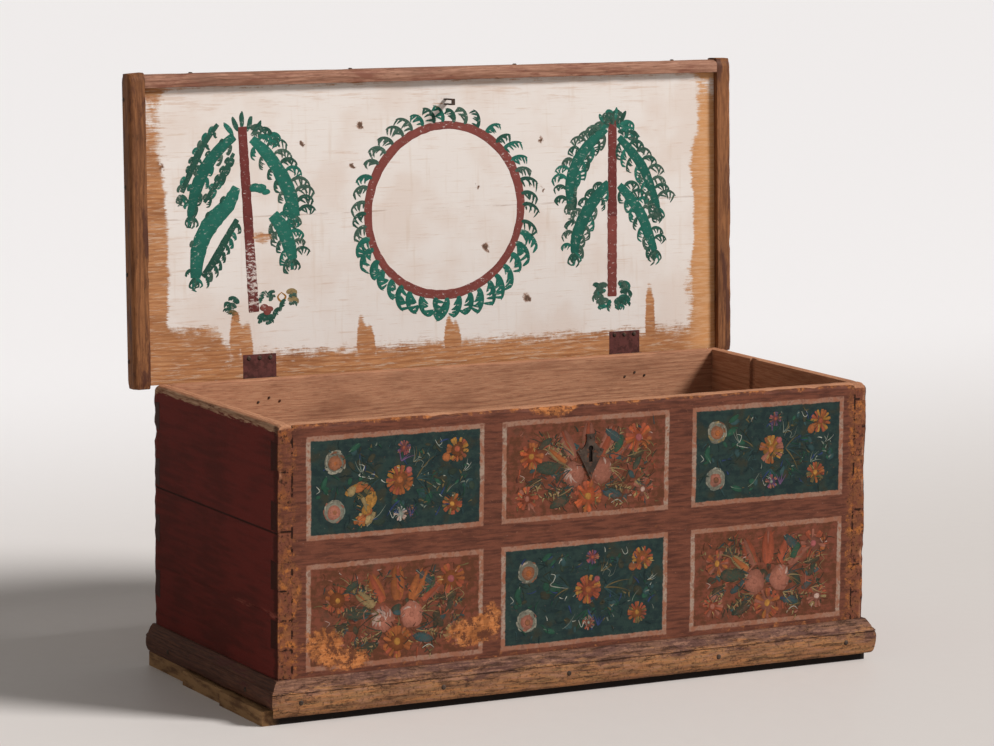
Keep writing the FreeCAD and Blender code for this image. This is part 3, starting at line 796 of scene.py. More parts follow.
def smooth(knots, steps):
    """Places on an even curve through the knots."""
    padded = [knots[0]] + list(knots) + [knots[-1]]
    path = []
    for index in range(1, len(padded) - 2):
        before, start, end, after = (Vector(knot) for knot in padded[index - 1:index + 3])
        for step in range(steps):
            share = step / steps
            spot = start * 2.0 + (end - before) * share
            spot = spot + (before * 2.0 - start * 5.0 + end * 4.0 - after) * share ** 2
            spot = spot + (start * 3.0 - before - end * 3.0 + after) * share ** 3
            path.append(tuple(spot * 0.5))
    path.append(tuple(knots[-1]))
    return path


class Canvas:
    """Gathers raised brush strokes on one flat face into one mesh of closed shells."""

    # How far a stroke stands out of its board, how far its edges sink into it, and its section
    LIFT = 0.28
    SINK = 0.35
    PROFILE = ((-1.0, -1.0), (-0.78, 0.85), (0.0, 1.0), (0.78, 0.85), (1.0, -1.0))

    def __init__(self, seed, foot, rise, out, edge):
        self.chance = random.Random(seed)
        self.foot = foot
        self.rise = rise
        self.out = out
        self.edge = edge
        self.points = []
        self.faces = []
        self.colours = []

    def add(self, spot, level, lift, colour):
        """A point over a spot of the face, or in the face where its level is below nothing."""
        height = level * (lift if level > 0.0 else self.SINK)
        place = self.foot + Vector((spot[0], 0.0, 0.0)) + self.rise * spot[1] + self.out * height
        self.points.append(place * MM)
        self.colours.append(colour)
        return len(self.points) - 1

    def skin(self, rings, closed=False):
        """Faces from each ring of points to the next, with end faces if the rings don't close."""
        for first, second in zip(rings, rings[1:] + rings[:1] if closed else rings[1:]):
            for index, corner in enumerate(first):
                beyond = (index + 1) % len(first)
                self.faces.append((corner, first[beyond], second[beyond], second[index]))
        if not closed:
            self.faces.append(tuple(reversed(rings[0])))
            self.faces.append(tuple(rings[-1]))

    def shade(self, colour, spread=0.16, level=1.0):
        """A colour at some level of brightness, varied by chance."""
        share = level * (1.0 + self.chance.uniform(-spread, spread))
        return tuple(min(1.0, channel * share) for channel in colour[:3]) + (1.0,)

    def ribbon(self, path, halves, colour, closed=False):
        """A stroke along a path of (across, up) places, half as wide as halves says."""
        lift = self.LIFT * self.chance.uniform(0.75, 1.25)
        colour = self.shade(colour)
        fade = 1.0 if closed else 1.0 - self.edge
        rings = []
        count = len(path)
        for index, (across, up) in enumerate(path):
            before = path[index - 1] if index or closed else path[0]
            after = path[(index + 1) % count] if index + 1 < count or closed else path[-1]
            run = Vector((after[0] - before[0], after[1] - before[1]))
            if run.length == 0.0:
                run = Vector((1.0, 0.0))
            run.normalize()
            along = 1.08 + (fade - 1.08) * index / count
            ring = []
            for offset, level in self.PROFILE:
                side = offset * halves[index]
                spot = (across - run.y * side, up + run.x * side)
                laid = self.shade(colour, 0.10, along * (1.0 - self.edge * abs(offset)))
                ring.append(self.add(spot, level, lift, laid))
            rings.append(ring)
        self.skin(rings, closed)

    def dab(self, spot, radius, colour, squash=1.0, turn=0.0, ragged=0.10, lift=LIFT):
        """An uneven round or oval touch of the brush, turned by some radians."""
        lift = lift * self.chance.uniform(0.85, 1.3)
        colour = self.shade(colour)
        around = max(10, int(radius * 1.4))
        reach = [1.0 + self.chance.uniform(-ragged, ragged) for _ in range(around)]
        reach = [(reach[i - 1] + reach[i] * 2.0 + reach[(i + 1) % around]) / 4.0 for i in range(around)]
        slant = (math.cos(turn), math.sin(turn))
        rings = []
        for share, level, bright in (
                (1.0, -1.0, 1.0 - self.edge * 1.3),
                (0.9, 0.8, 1.0 - self.edge * 0.7),
                (0.5, 1.0, 1.1)):
            ring = []
            for index in range(around):
                angle = math.tau * index / around
                side = math.cos(angle) * radius * share * reach[index]
                rise = math.sin(angle) * radius * share * reach[index] * squash
                across = spot[0] + side * slant[0] - rise * slant[1]
                up = spot[1] + side * slant[1] + rise * slant[0]
                ring.append(self.add((across, up), level, lift, self.shade(colour, 0.16, bright)))
            rings.append(ring)
        self.skin(rings)

    def comma(self, spot, heading, length, width, bend, colour, steps=9):
        """A stroke that lands fat, turns by bend and lifts to a point. Angles are degrees."""
        path = [spot]
        for index in range(steps):
            path.append(polar(path[-1], heading + bend * index / steps, length / steps))
        halves = []
        for index in range(steps + 1):
            share = index / steps
            head = min(1.0, 0.62 + share * 2.6)
            halves.append(max(0.25, width / 2.0 * head * (1.0 - share) ** 0.42))
        self.ribbon(path, halves, colour)
        return path

    def frond(self, spot, heading, bend, length, width, colour, hairs):
        """An arching stroke with split hairs of the brush hanging inside its curve."""
        path = self.comma(spot, heading, length, width, bend, colour)
        turn = math.copysign(1.0, bend)
        for index in range(hairs):
            share = 0.2 + 0.7 * index / (hairs - 1)
            root = path[int(share * (len(path) - 1))]
            lean = heading + bend * share + turn * self.chance.uniform(30.0, 70.0)
            reach = length * self.chance.uniform(0.28, 0.46)
            thin = width * self.chance.uniform(0.5, 0.72)
            self.comma(root, lean, reach, thin, turn * 20.0, colour, steps=5)

    def line(self, knots, width, colour):
        """A thin line of even curve through its knots."""
        path = smooth(knots, 6)
        halves = []
        for index in range(len(path)):
            share = index / (len(path) - 1)
            swell = min(1.0, 0.35 + 2.2 * min(share, 1.0 - share))
            halves.append(width / 2.0 * swell * self.chance.uniform(0.85, 1.15))
        self.ribbon(path, halves, colour)

    def band(self, knots, widths, colour):
        """A broad stroke with its own width at each knot."""
        path = smooth(knots, 7)
        halves = []
        for index in range(len(path)):
            width = between(widths, index / (len(path) - 1))
            halves.append(width / 2.0 * self.chance.uniform(0.94, 1.06))
        self.ribbon(path, halves, colour)

    def piece(self, name, body, slot, material):
        """Make the gathered strokes an object that rides on a body."""
        mesh = bpy.data.meshes.new(name)
        mesh.from_pydata(self.points, [], self.faces)
        layer = mesh.color_attributes.new("paint", "FLOAT_COLOR", "POINT")
        for index, colour in enumerate(self.colours):
            layer.data[index].color = colour
        edit = bmesh.new()
        edit.from_mesh(mesh)
        bmesh.ops.recalc_face_normals(edit, faces=edit.faces)
        edit.to_mesh(mesh)
        edit.free()
        mesh.materials.append(material)
        piece = bpy.data.objects.new(name, mesh)
        bpy.context.scene.collection.objects.link(piece)
        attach(piece, body)


# How much darker strokes are at their edges
FRONT_STROKE_EDGE = 0.34
LID_STROKE_EDGE = 0.12

# Pigments
LID_GREEN = tint(36, 96, 82)
LID_GREEN_DARK = tint(40, 76, 64)
LID_GREY_GREEN = tint(62, 86, 74)
TREE_RED = tint(106, 51, 47)
TREE_ROSE = tint(124, 64, 57)
RING_RED = tint(114, 60, 54)
ORANGE = tint(142, 82, 46)
AMBER = tint(154, 108, 50)
YELLOW = tint(160, 132, 84)
CORAL = tint(142, 72, 50)
ROSE = tint(136, 86, 70)
ROSE_PALE = tint(164, 137, 124)
VERMILION = tint(172, 84, 50)
PINK = tint(136, 74, 74)
PURPLE = tint(96, 70, 98)
WHITE = tint(160, 160, 148)
FADED = tint(136, 131, 115)
CLAY = tint(124, 78, 54)
CHALK = tint(112, 118, 106)
BLUE = tint(46, 58, 94)
LEAF_GREEN = tint(36, 68, 52)
LEAF_DARK = tint(44, 54, 44)
LEAF_TEAL = tint(44, 64, 64)
OLIVE = tint(98, 84, 54)
OLIVE_PALE = tint(134, 114, 78)

# The ring on the lid and the hooked fronds round it
RING_CENTRE = (8.5, 268.0)
RING_RADIUS = 148.0
RING_WIDTH = 17.5
RING_POINTS = 96
HOOKS = 44
HOOKS_LEFTWARD = (65.0, 265.0)
HOOKS_LOW = (195.0, 345.0)
HOOK_ROOT = 152.5
HOOK_LENGTH = 40.0
HOOK_WIDTH = 10.0

# The trees on the lid: how much fuller boughs are than their widths say, and where a trunk's lengths meet
BOUGH_FULLNESS = 1.14
TRUNK_JOINT = 0.55

# Greens from which the fronds take theirs by chance
FROND_GREENS = (LID_GREEN, LID_GREEN_DARK, LID_GREEN_DARK, LID_GREY_GREEN)
FAN_GREENS = (LID_GREEN, LID_GREEN_DARK, LID_GREY_GREEN)


class LidCanvas(Canvas):
    """Strokes on the inside of the lid."""

    def __init__(self, seed):
        super().__init__(seed, LID_FOOT, LID_RISE, LID_OUT, LID_STROKE_EDGE)

    def lay(self, name):
        self.piece(name, "lid", "cream_painted_pine", lid_strokes)


def make_wreath():
    canvas = LidCanvas(11)
    chance = canvas.chance
    loop = []
    halves = []
    for index in range(RING_POINTS):
        degrees = 360.0 * index / RING_POINTS
        angle = math.radians(degrees)
        reach = RING_RADIUS + 2.0 * math.sin(angle * 2.0 + 0.6) + chance.uniform(-0.5, 0.5)
        loop.append(polar(RING_CENTRE, degrees, reach))
        swell = 1.0 + 0.10 * math.sin(angle * 3.0) + chance.uniform(-0.05, 0.05)
        halves.append(RING_WIDTH / 2.0 * swell)
    canvas.ribbon(loop, halves, RING_RED, closed=True)
    for index in range(HOOKS):
        degrees = 360.0 * (index + chance.uniform(-0.2, 0.2)) / HOOKS
        leftward = HOOKS_LEFTWARD[0] < degrees < HOOKS_LEFTWARD[1]
        low = HOOKS_LOW[0] < degrees < HOOKS_LOW[1]
        bend = chance.uniform(95.0, 130.0) * (1.0 if leftward else -0.75)
        length = HOOK_LENGTH * chance.uniform(0.85, 1.15) * (1.15 if low else 0.95)
        width = HOOK_WIDTH * (1.35 if low else 0.9)
        colour = LID_GREEN if low else chance.choice(FAN_GREENS)
        root = polar(RING_CENTRE, degrees, HOOK_ROOT)
        canvas.frond(root, degrees - bend * 0.12, bend, length, width, colour, 5)
    canvas.lay("lid_wreath")


class Tree(LidCanvas):
    """A tree on the lid, its places counted in columns and rows from its top."""

    def __init__(self, seed, top, per_column, per_row):
        super().__init__(seed)
        self.top = top
        self.per_column = per_column
        self.per_row = per_row

    def at(self, column, row):
        return (self.top[0] + column * self.per_column, self.top[1] - row * self.per_row)

    def trunk(self, foot, widths, colours):
        """A tapering trunk in two lengths, each with its own colour."""
        joints = ((0.0, 0.0), (foot[0] * TRUNK_JOINT, foot[1] * TRUNK_JOINT), foot)
        for index, colour in enumerate(colours):
            start, end = joints[index:index + 2]
            knots = [self.at(start[0] + (end[0] - start[0]) * share, start[1] + (end[1] - start[1]) * share)
                     for share in (0.0, 0.25, 0.5, 0.75, 1.0)]
            self.band(knots, widths[index:index + 2], colour)

    def bough(self, places, widths, fringes, colour=LID_GREEN):
        """A broad stroke, with rows of fronds along its edges."""
        widths = [width * BOUGH_FULLNESS for width in widths]
        knots = [self.at(*place) for place in places]
        self.band(knots, widths, colour)
        for fringe in fringes:
            self.fringe(smooth(knots, 16), widths, *fringe)

    def fringe(self, path, widths, side, heading, bend, length, pitch):
        """Fronds rooted in one edge of a bough: side is 1 for the left hand along it, -1 for the right."""
        chance = self.chance
        due = pitch * 0.5
        for index in range(1, len(path)):
            here = Vector(path[index])
            run = here - Vector(path[index - 1])
            due -= run.length
            if due > 0.0 or run.length == 0.0:
                continue
            due += pitch * chance.uniform(0.85, 1.15)
            half = between(widths, index / (len(path) - 1)) / 2.0
            run.normalize()
            root = here + Vector((-run.y, run.x)) * side * half * 0.8
            self.frond(root, heading + chance.uniform(-14.0, 14.0), bend * chance.uniform(0.85, 1.15),
                       length * chance.uniform(0.85, 1.15), chance.uniform(6.5, 9.0),
                       chance.choice(FROND_GREENS), 5)

    def tuft(self, place, length):
        """Fronds that spread from the end of a bough."""
        for heading, bend in ((205.0, 60.0), (240.0, 40.0), (275.0, -20.0), (310.0, -40.0), (340.0, -60.0)):
            self.frond(self.at(*place), heading, bend, length * self.chance.uniform(0.8, 1.1), 7.5,
                       self.chance.choice(FROND_GREENS), 3)

    def crown(self, places, heading, length):
        """Short upright touches at the top of the tree."""
        for index, place in enumerate(places):
            lean = heading + (index - (len(places) - 1) / 2.0) * -20.0
            self.dab(polar(self.at(*place), lean, length * 0.5), length * 0.52,
                     self.chance.choice((LID_GREEN, LID_GREEN_DARK)),
                     squash=0.34, turn=math.radians(lean), ragged=0.22)

    def fans(self, places, heading, bend, length, colours=FAN_GREENS):
        """Drooping fronds, a long and a short one from each root."""
        chance = self.chance
        for place in places:
            across, up = self.at(*place)
            colour = chance.choice(colours)
            lean = heading - bend * 0.55 + chance.uniform(-12.0, 12.0)
            reach = length * chance.uniform(0.9, 1.15)
            self.frond((across, up), lean, bend * 1.35, reach, chance.uniform(9.5, 12.0), colour, 5)
            root = (across + chance.uniform(-5.0, 5.0), up - length * 0.35)
            self.frond(root, lean + chance.uniform(-10.0, 10.0), bend * 1.3, reach * 0.8,
                       chance.uniform(7.0, 9.0), chance.choice(colours), 4)

    def dabs(self, places, colour, squash, ragged=0.10):
        """Touches of the brush, each a column, a row and a radius."""
        for column, row, radius in places:
            self.dab(self.at(column, row), radius, colour, squash=squash, ragged=ragged)


def make_left_tree():
    tree = Tree(21, (-374.0, 424.0), 0.2706, 0.2595)
    for bough in (
            (((-55, 60), (-155, 140), (-255, 260), (-325, 410), (-360, 570)), (14.0, 19.0, 22.0, 21.0, 13.0),
             ((1, 285.0, -45.0, 20.0, 26.0), (-1, 190.0, 60.0, 12.0, 34.0))),
            (((65, 80), (165, 180), (255, 310), (325, 460), (355, 600)), (15.0, 22.0, 25.0, 25.0, 18.0),
             ((1, 46.0, -125.0, 42.0, 18.0), (-1, 236.0, 55.0, 22.0, 24.0))),
            (((-45, 390), (-105, 500), (-225, 620), (-305, 770), (-335, 970)), (15.0, 27.0, 32.0, 30.0, 18.0),
             ((-1, 200.0, 60.0, 12.0, 48.0),)),
            (((200, 580), (265, 670), (305, 770), (335, 880)), (20.0, 27.0, 27.0, 16.0),
             ((1, 32.0, -95.0, 27.0, 16.0), (-1, 225.0, 60.0, 25.0, 18.0))),
            (((-165, -20), (-255, 90), (-325, 220), (-415, 410)), (7.0, 12.0, 13.0, 8.0),
             ((-1, 195.0, 70.0, 13.0, 15.0), (1, 270.0, 40.0, 10.0, 24.0)), LID_GREEN_DARK),
            (((-45, 600), (-125, 730), (-205, 860), (-285, 960)), (9.0, 13.0, 14.0, 9.0),
             ((1, -50.0, -40.0, 16.0, 13.0),), LID_GREEN_DARK)):
        tree.bough(*bough)
    tree.dabs(((75, 400, 13.0), (115, 405, 14.0), (155, 430, 9.0)), LID_GREEN, 0.62, 0.2)
    for place in ((-360, 570), (355, 600), (-335, 970), (335, 880), (-420, 430)):
        tree.tuft(place, 20.0)
    tree.fans(((60, 20), (120, 30), (180, 70)), -5.0, -85.0, 28.0)
    tree.bough(((-60, 170), (-115, 270), (-185, 370), (-265, 480)), (6.0, 9.0, 10.0, 6.0),
               ((1, 275.0, -45.0, 16.0, 15.0), (-1, 200.0, 55.0, 12.0, 18.0)), LID_GREEN_DARK)
    tree.fans(((-50, 1150), (-90, 1190), (-60, 1240)), 140.0, 70.0, 20.0, (LID_GREEN_DARK, OLIVE))
    tree.fans(((300, 1150), (290, 1100)), 20.0, -70.0, 18.0, (OLIVE_PALE, LID_GREY_GREEN))
    tree.crown(((-60, 50), (-30, 30), (0, 10), (35, 30), (70, 50)), 92.0, 28.0)
    tree.trunk((60, 1210), (19.0, 20.0, 22.0), (TREE_RED, TREE_RED))
    tree.dabs(((130, 1185, 9.0), (165, 1195, 8.0), (150, 1215, 8.0)), RING_RED, 0.7)
    loop = ((250, 1090), (225, 1120), (250, 1150), (280, 1120), (250, 1090))
    tree.line([tree.at(*place) for place in loop], 4.0, AMBER)
    roots = ((110, 1130), (160, 1120), (200, 1240), (250, 1190))
    tree.fans(roots, 60.0, -60.0, 18.0, (LID_GREEN_DARK, LID_GREY_GREEN))
    tree.fans(((90, 1260), (140, 1270)), 20.0, -80.0, 20.0, (LID_GREEN_DARK,))
    tree.lay("lid_left_tree")


def make_right_tree():
    tree = Tree(31, (344.0, 417.0), 0.282, 0.259)
    for bough in (
            (((-45, 70), (-145, 150), (-245, 270), (-305, 420), (-310, 570)), (13.0, 19.0, 22.0, 21.0, 13.0),
             ((-1, 136.0, 125.0, 35.0, 18.0), (1, 296.0, -60.0, 32.0, 17.0))),
            (((45, 130), (125, 220), (215, 340), (275, 480), (325, 630)), (12.0, 17.0, 19.0, 18.0, 12.0),
             ((1, 46.0, -125.0, 40.0, 18.0), (-1, 234.0, 60.0, 29.0, 18.0))),
            (((-30, 440), (-125, 540), (-205, 660), (-265, 800), (-280, 910)), (14.0, 22.0, 25.0, 23.0, 15.0),
             ((-1, 150.0, 110.0, 27.0, 21.0), (1, 300.0, -60.0, 25.0, 19.0))),
            (((45, 460), (125, 550), (205, 670), (255, 800), (300, 920)), (13.0, 19.0, 21.0, 20.0, 12.0),
             ((1, 40.0, -118.0, 35.0, 19.0), (-1, 235.0, 60.0, 23.0, 19.0)))):
        tree.bough(*bough)
    for place in ((-310, 570), (325, 630), (-280, 910), (300, 920)):
        tree.tuft(place, 22.0)
    tree.crown(((-50, 50), (-20, 30), (20, 20), (55, 40)), 92.0, 24.0)
    for fans in (
            (((-30, 60), (-60, 40), (-100, 90)), 185.0, 75.0, 26.0),
            (((30, 60), (60, 50), (110, 110)), -5.0, -75.0, 28.0),
            (((-20, 30), (10, 10)), 150.0, 80.0, 20.0),
            (((-10, 10), (0, 0)), 140.0, 95.0, 25.0),
            (((5, 0), (15, 10)), 40.0, -95.0, 25.0)):
        tree.fans(*fans)
    tree.trunk((-12, 1220), (19.0, 22.0, 21.0), (TREE_RED, TREE_ROSE))
    for fans in (
            (((-50, 1150), (-70, 1190), (-80, 1230), (-40, 1260)), 175.0, 80.0, 26.0),
            (((10, 1270), (40, 1240), (50, 1200), (40, 1150)), 5.0, -80.0, 26.0),
            (((-100, 1170), (90, 1170)), 120.0, 60.0, 18.0),
            (((-20, 1250), (30, 1240)), 250.0, 50.0, 16.0)):
        tree.fans(*fans)
    tree.lay("lid_right_tree")


class Panel(Canvas):
    """Flowers inside one field of the front, placed by shares of its width and height."""

    # Strokes round the rim and round the heart of a rosette
    RIM_STROKES = 17
    HEART_STROKES = 9

    def __init__(self, seed, column, row):
        foot = Vector((0.0, FRONT_FACE, 0.0))
        super().__init__(seed, foot, Vector((0.0, 0.0, 1.0)), Vector((0.0, -1.0, 0.0)), FRONT_STROKE_EDGE)
        left, right = COLUMNS[column]
        low, high = ROWS[row]
        self.left = left + BORDER
        self.low = low + BORDER
        self.wide = right - left - 2.0 * BORDER
        self.tall = high - low - 2.0 * BORDER

    def lay(self, name):
        self.piece(name, "chest", "red_painted_pine", front_strokes)

    def at(self, across, up):
        return (self.left + across * self.wide, self.low + up * self.tall)

    def rosette(self, across, up, radius, outer, ring, core):
        """A round pale flower: a smeared disc, rim strokes, a blush ring and a warm heart."""
        chance = self.chance
        x, z = self.at(across, up)
        self.dab((x, z), radius * 0.94, self.shade(FADED, 0.05, 0.6), ragged=0.08)
        for index in range(self.RIM_STROKES):
            heading = index * 360.0 / self.RIM_STROKES + chance.uniform(-9.0, 9.0)
            root = polar((x, z), heading, radius * chance.uniform(0.72, 0.88))
            self.comma(root, heading + chance.uniform(84.0, 106.0), radius * chance.uniform(0.4, 0.62),
                       radius * 0.24, 46.0, chance.choice((outer, FADED, FADED, ring)))
        self.dab((x, z - radius * 0.06), radius * 0.62, ring, ragged=0.12, lift=0.42)
        for index in range(self.HEART_STROKES):
            heading = index * 360.0 / self.HEART_STROKES + chance.uniform(-14.0, 14.0)
            root = polar((x, z), heading, radius * 0.3)
            self.comma(root, heading + 35.0, radius * 0.42, radius * 0.2, 50.0,
                       chance.choice((ring, outer, core)))
        self.dab((x + radius * 0.05, z - radius * 0.08), radius * 0.28, core, lift=0.5)

    def rose(self, across, up, radius, heading):
        """A full rose: petals that shade from a pale crown to a warm foot."""
        chance = self.chance
        spot = self.at(across, up)
        self.dab(spot, radius * 0.92, ROSE, squash=1.1, ragged=0.12)
        for layer, colour in ((0.86, ROSE), (0.62, ROSE), (0.40, ROSE_PALE)):
            for index in range(9):
                lean = heading + (index - 4.0) * 34.0 + chance.uniform(-10.0, 10.0)
                upper = math.sin(math.radians(lean)) > -0.1
                shade = ROSE_PALE if upper and chance.random() < 0.85 else colour
                self.comma(polar(spot, lean, radius * layer * 0.6), lean + chance.uniform(30.0, 80.0),
                           radius * 0.6, radius * 0.34, 45.0, shade, steps=6)
        self.dab(spot, radius * 0.2, ROSE, lift=0.45)

    def daisy(self, across, up, radius, petals, colours, core, start=0.0):
        """A flower of brushed petals round a dab, broken by dark touches."""
        chance = self.chance
        spot = self.at(across, up)
        self.dab(spot, radius * 0.66, self.shade(colours[0], 0.1, 0.5), ragged=0.25)
        for index in range(petals):
            heading = start + index * 360.0 / petals + chance.uniform(-12.0, 12.0)
            reach = radius * chance.uniform(0.62, 0.85)
            for spread in (-15.0, 0.0, 15.0):
                lean = heading + spread + chance.uniform(-8.0, 8.0)
                width = radius * chance.uniform(0.30, 0.44)
                self.comma(polar(spot, lean, radius), lean + 180.0, reach, width,
                           chance.uniform(-20.0, 20.0), chance.choice(colours), steps=5)
        for _ in range(petals + 3):
            heading = chance.uniform(0.0, 360.0)
            root = polar(spot, heading, radius * chance.uniform(0.3, 0.8))
            self.comma(root, heading + chance.uniform(-40.0, 40.0), radius * 0.4, radius * 0.13, 30.0,
                       chance.choice((PANEL_BROWN, PANEL_BROWN, core, YELLOW)), steps=4)
        self.dab(spot, radius * 0.26, core, lift=0.45, ragged=0.3)

    def thicket(self, count, colours):
        """A scatter of twig and leaf strokes that fills the field behind the flowers."""
        chance = self.chance
        for _ in range(count):
            spot = self.at(chance.uniform(0.06, 0.94), chance.uniform(0.07, 0.93))
            self.comma(spot, chance.uniform(0.0, 360.0), chance.uniform(7.0, 20.0), chance.uniform(2.0, 4.6),
                       chance.uniform(-70.0, 70.0), chance.choice(colours), steps=5)

    def wash(self, colours, places):
        """Thin dark smears of foliage that lie under the flowers."""
        chance = self.chance
        for across, up, radius in places:
            x, z = self.at(across, up)
            for _ in range(5):
                spot = (x + chance.uniform(-radius, radius), z + chance.uniform(-radius, radius) * 0.7)
                self.dab(spot, radius * chance.uniform(0.3, 0.6), chance.choice(colours),
                         squash=chance.uniform(0.4, 0.8), turn=chance.uniform(0.0, math.pi),
                         ragged=0.25, lift=0.14)

    def buds(self, across, up, heading, count, reach, colours):
        """A twig with small buds along both sides."""
        chance = self.chance
        path = self.comma(self.at(across, up), heading, reach, 1.8, chance.uniform(-30.0, 30.0), LEAF_DARK)
        for index in range(count):
            root = path[1 + index * (len(path) - 2) // count]
            side = 55.0 if index % 2 else -55.0
            self.comma(root, heading + side + chance.uniform(-20.0, 20.0), chance.uniform(6.0, 10.0),
                       chance.uniform(3.0, 4.4), side * 0.5, chance.choice(colours), steps=4)

    def tulip(self, across, up, tall, heading, outer, inner):
        """A closed bud of three long petals."""
        for lean, bend, colour in ((-16.0, 26.0, outer), (16.0, -26.0, outer), (0.0, 0.0, inner)):
            self.comma(self.at(across, up), heading + lean, tall, tall * 0.36, bend, colour)

    def leaf(self, across, up, heading, length, colour, vein):
        """A broad leaf with a vein of another colour."""
        spot = self.at(across, up)
        half = length / 2.0
        turn = math.radians(heading)
        self.dab(polar(spot, heading, half), half, colour, squash=0.42, turn=turn, ragged=0.12)
        self.comma(spot, heading, length * 0.9, 1.6, 14.0, vein)

    def spray(self, across, up, heading, count, length, bend, colours, width):
        """A fan of thin leaf strokes from one root."""
        for index in range(count):
            lean = heading + (index - (count - 1) / 2.0) * 19.0 + self.chance.uniform(-6.0, 6.0)
            self.comma(self.at(across, up), lean, length * self.chance.uniform(0.7, 1.15), width, bend,
                       self.chance.choice(colours))

    def scroll(self, width, colour, *places):
        """A thin curl through some places of the field."""
        self.line([self.at(*place) for place in places], width, colour)

    def dots(self, count, colours, low, high):
        """Small touches scattered over part of the field."""
        chance = self.chance
        for _ in range(count):
            spot = self.at(chance.uniform(low[0], high[0]), chance.uniform(low[1], high[1]))
            self.comma(spot, chance.uniform(0.0, 360.0), chance.uniform(4.0, 10.0), 2.4, 40.0,
                       chance.choice(colours))


def green_panel(name, column, row, seed, lively, heart, lower):
    """A green field: two rosettes at the left, a sun flower in the middle, orange flowers at the right."""
    panel = Panel(seed, column, row)
    panel.wash((LEAF_DARK, LEAF_TEAL, LEAF_GREEN, PANEL_OLIVE), (
        (0.30, 0.78, 20.0), (0.26, 0.55, 18.0), (0.52, 0.28, 16.0), (0.66, 0.30, 18.0), (0.70, 0.82, 16.0),
        (0.90, 0.45, 15.0), (0.08, 0.45, 12.0), (0.40, 0.14, 14.0), (0.78, 0.52, 18.0)))
    panel.thicket(80, (LEAF_DARK, LEAF_TEAL, PANEL_OLIVE, PANEL_TEAL, PANEL_TEAL, LEAF_GREEN, BLUE))
    for leaf in ((0.09, 0.62, 250.0), (0.22, 0.86, 30.0), (0.1, 0.42, 120.0), (0.24, 0.14, -20.0)):
        panel.leaf(*leaf, 24.0, LEAF_GREEN, CHALK)
    for spray in (
            (0.40, 0.55, 165.0, 6, 40.0, 35.0, (LEAF_DARK, LEAF_TEAL, OLIVE), 3.2),
            (0.30, 0.62, 140.0, 5, 30.0, -35.0, (CHALK, LEAF_TEAL, LEAF_DARK), 2.0),
            (0.62, 0.52, 10.0, 6, 46.0, -30.0, (LEAF_DARK, LEAF_TEAL, OLIVE), 3.2),
            (0.62, 0.40, -25.0, 4, 50.0, 25.0, (LEAF_TEAL, LEAF_GREEN), 1.8),
            (0.52, 0.30, 250.0, 6, 30.0, 25.0, (LEAF_GREEN, BLUE, LEAF_TEAL), 3.6),
            (0.53, 0.72, 70.0, 5, 26.0, -25.0, (LEAF_GREEN, PURPLE, LEAF_TEAL), 3.0),
            (0.60, 0.70, 40.0, 5, 24.0, 40.0, (CHALK, LEAF_TEAL, OLIVE), 1.8)):
        panel.spray(*spray)
    for twig in (
            (0.62, 0.74, 30.0), (0.88, 0.50, 60.0), (0.80, 0.46, 200.0),
            (0.33, 0.88, 10.0), (0.66, 0.18, 80.0), (0.93, 0.36, 110.0)):
        panel.buds(*twig, 5, 26.0, (OLIVE, LEAF_GREEN, CHALK, LEAF_TEAL))
    panel.rosette(0.14, 0.76, 21.0, lively[0], CLAY, ORANGE)
    panel.rosette(0.135, 0.24, 21.0, lively[1], ROSE, CLAY)
    panel.daisy(0.52, 0.52, 24.0, 7, heart, ORANGE, 12.0)
    panel.dab(panel.at(0.575, 0.62), 6.0, PINK, lift=0.5)
    panel.daisy(0.545, 0.86, 12.0, 5, (PINK, ROSE, PURPLE), CORAL)
    panel.daisy(0.525, 0.16, 12.0, 5, lower, CHALK, 30.0)
    panel.spray(0.525, 0.18, 110.0, 5, 14.0, 30.0, (WHITE, CHALK), 1.8)
    panel.spray(0.585, 0.12, 80.0, 4, 20.0, 10.0, (BLUE, PURPLE), 3.4)
    panel.daisy(0.865, 0.80, 20.0, 6, (ORANGE, AMBER, CORAL), CORAL)
    panel.dab(panel.at(0.80, 0.72), 8.0, ORANGE, ragged=0.2)
    panel.daisy(0.835, 0.22, 18.0, 6, (ORANGE, CORAL, OLIVE), AMBER, 20.0)
    panel.spray(0.90, 0.56, 20.0, 4, 20.0, 40.0, (WHITE, CHALK, LEAF_DARK), 1.5)
    panel.spray(0.80, 0.34, 60.0, 4, 22.0, -40.0, (OLIVE, LEAF_GREEN, CHALK), 2.0)
    for scroll in (
            (2.0, WHITE, (0.28, 0.72), (0.31, 0.70), (0.30, 0.64), (0.28, 0.60), (0.33, 0.57), (0.39, 0.55)),
            (1.3, CHALK, (0.61, 0.66), (0.63, 0.72), (0.66, 0.69), (0.65, 0.64), (0.68, 0.66), (0.70, 0.76)),
            (1.5, WHITE, (0.73, 0.92), (0.75, 0.86), (0.77, 0.88), (0.76, 0.94)),
            (1.7, WHITE, (0.46, 0.20), (0.48, 0.12), (0.50, 0.18), (0.52, 0.08)),
            (1.8, WHITE, (0.03, 0.52), (0.05, 0.47), (0.03, 0.44)),
            (1.6, CHALK, (0.36, 0.12), (0.40, 0.17), (0.44, 0.27))):
        panel.scroll(*scroll)
    panel.dots(30, (CHALK, WHITE, OLIVE, LEAF_TEAL), (0.24, 0.08), (0.96, 0.94))
    panel.lay(name)


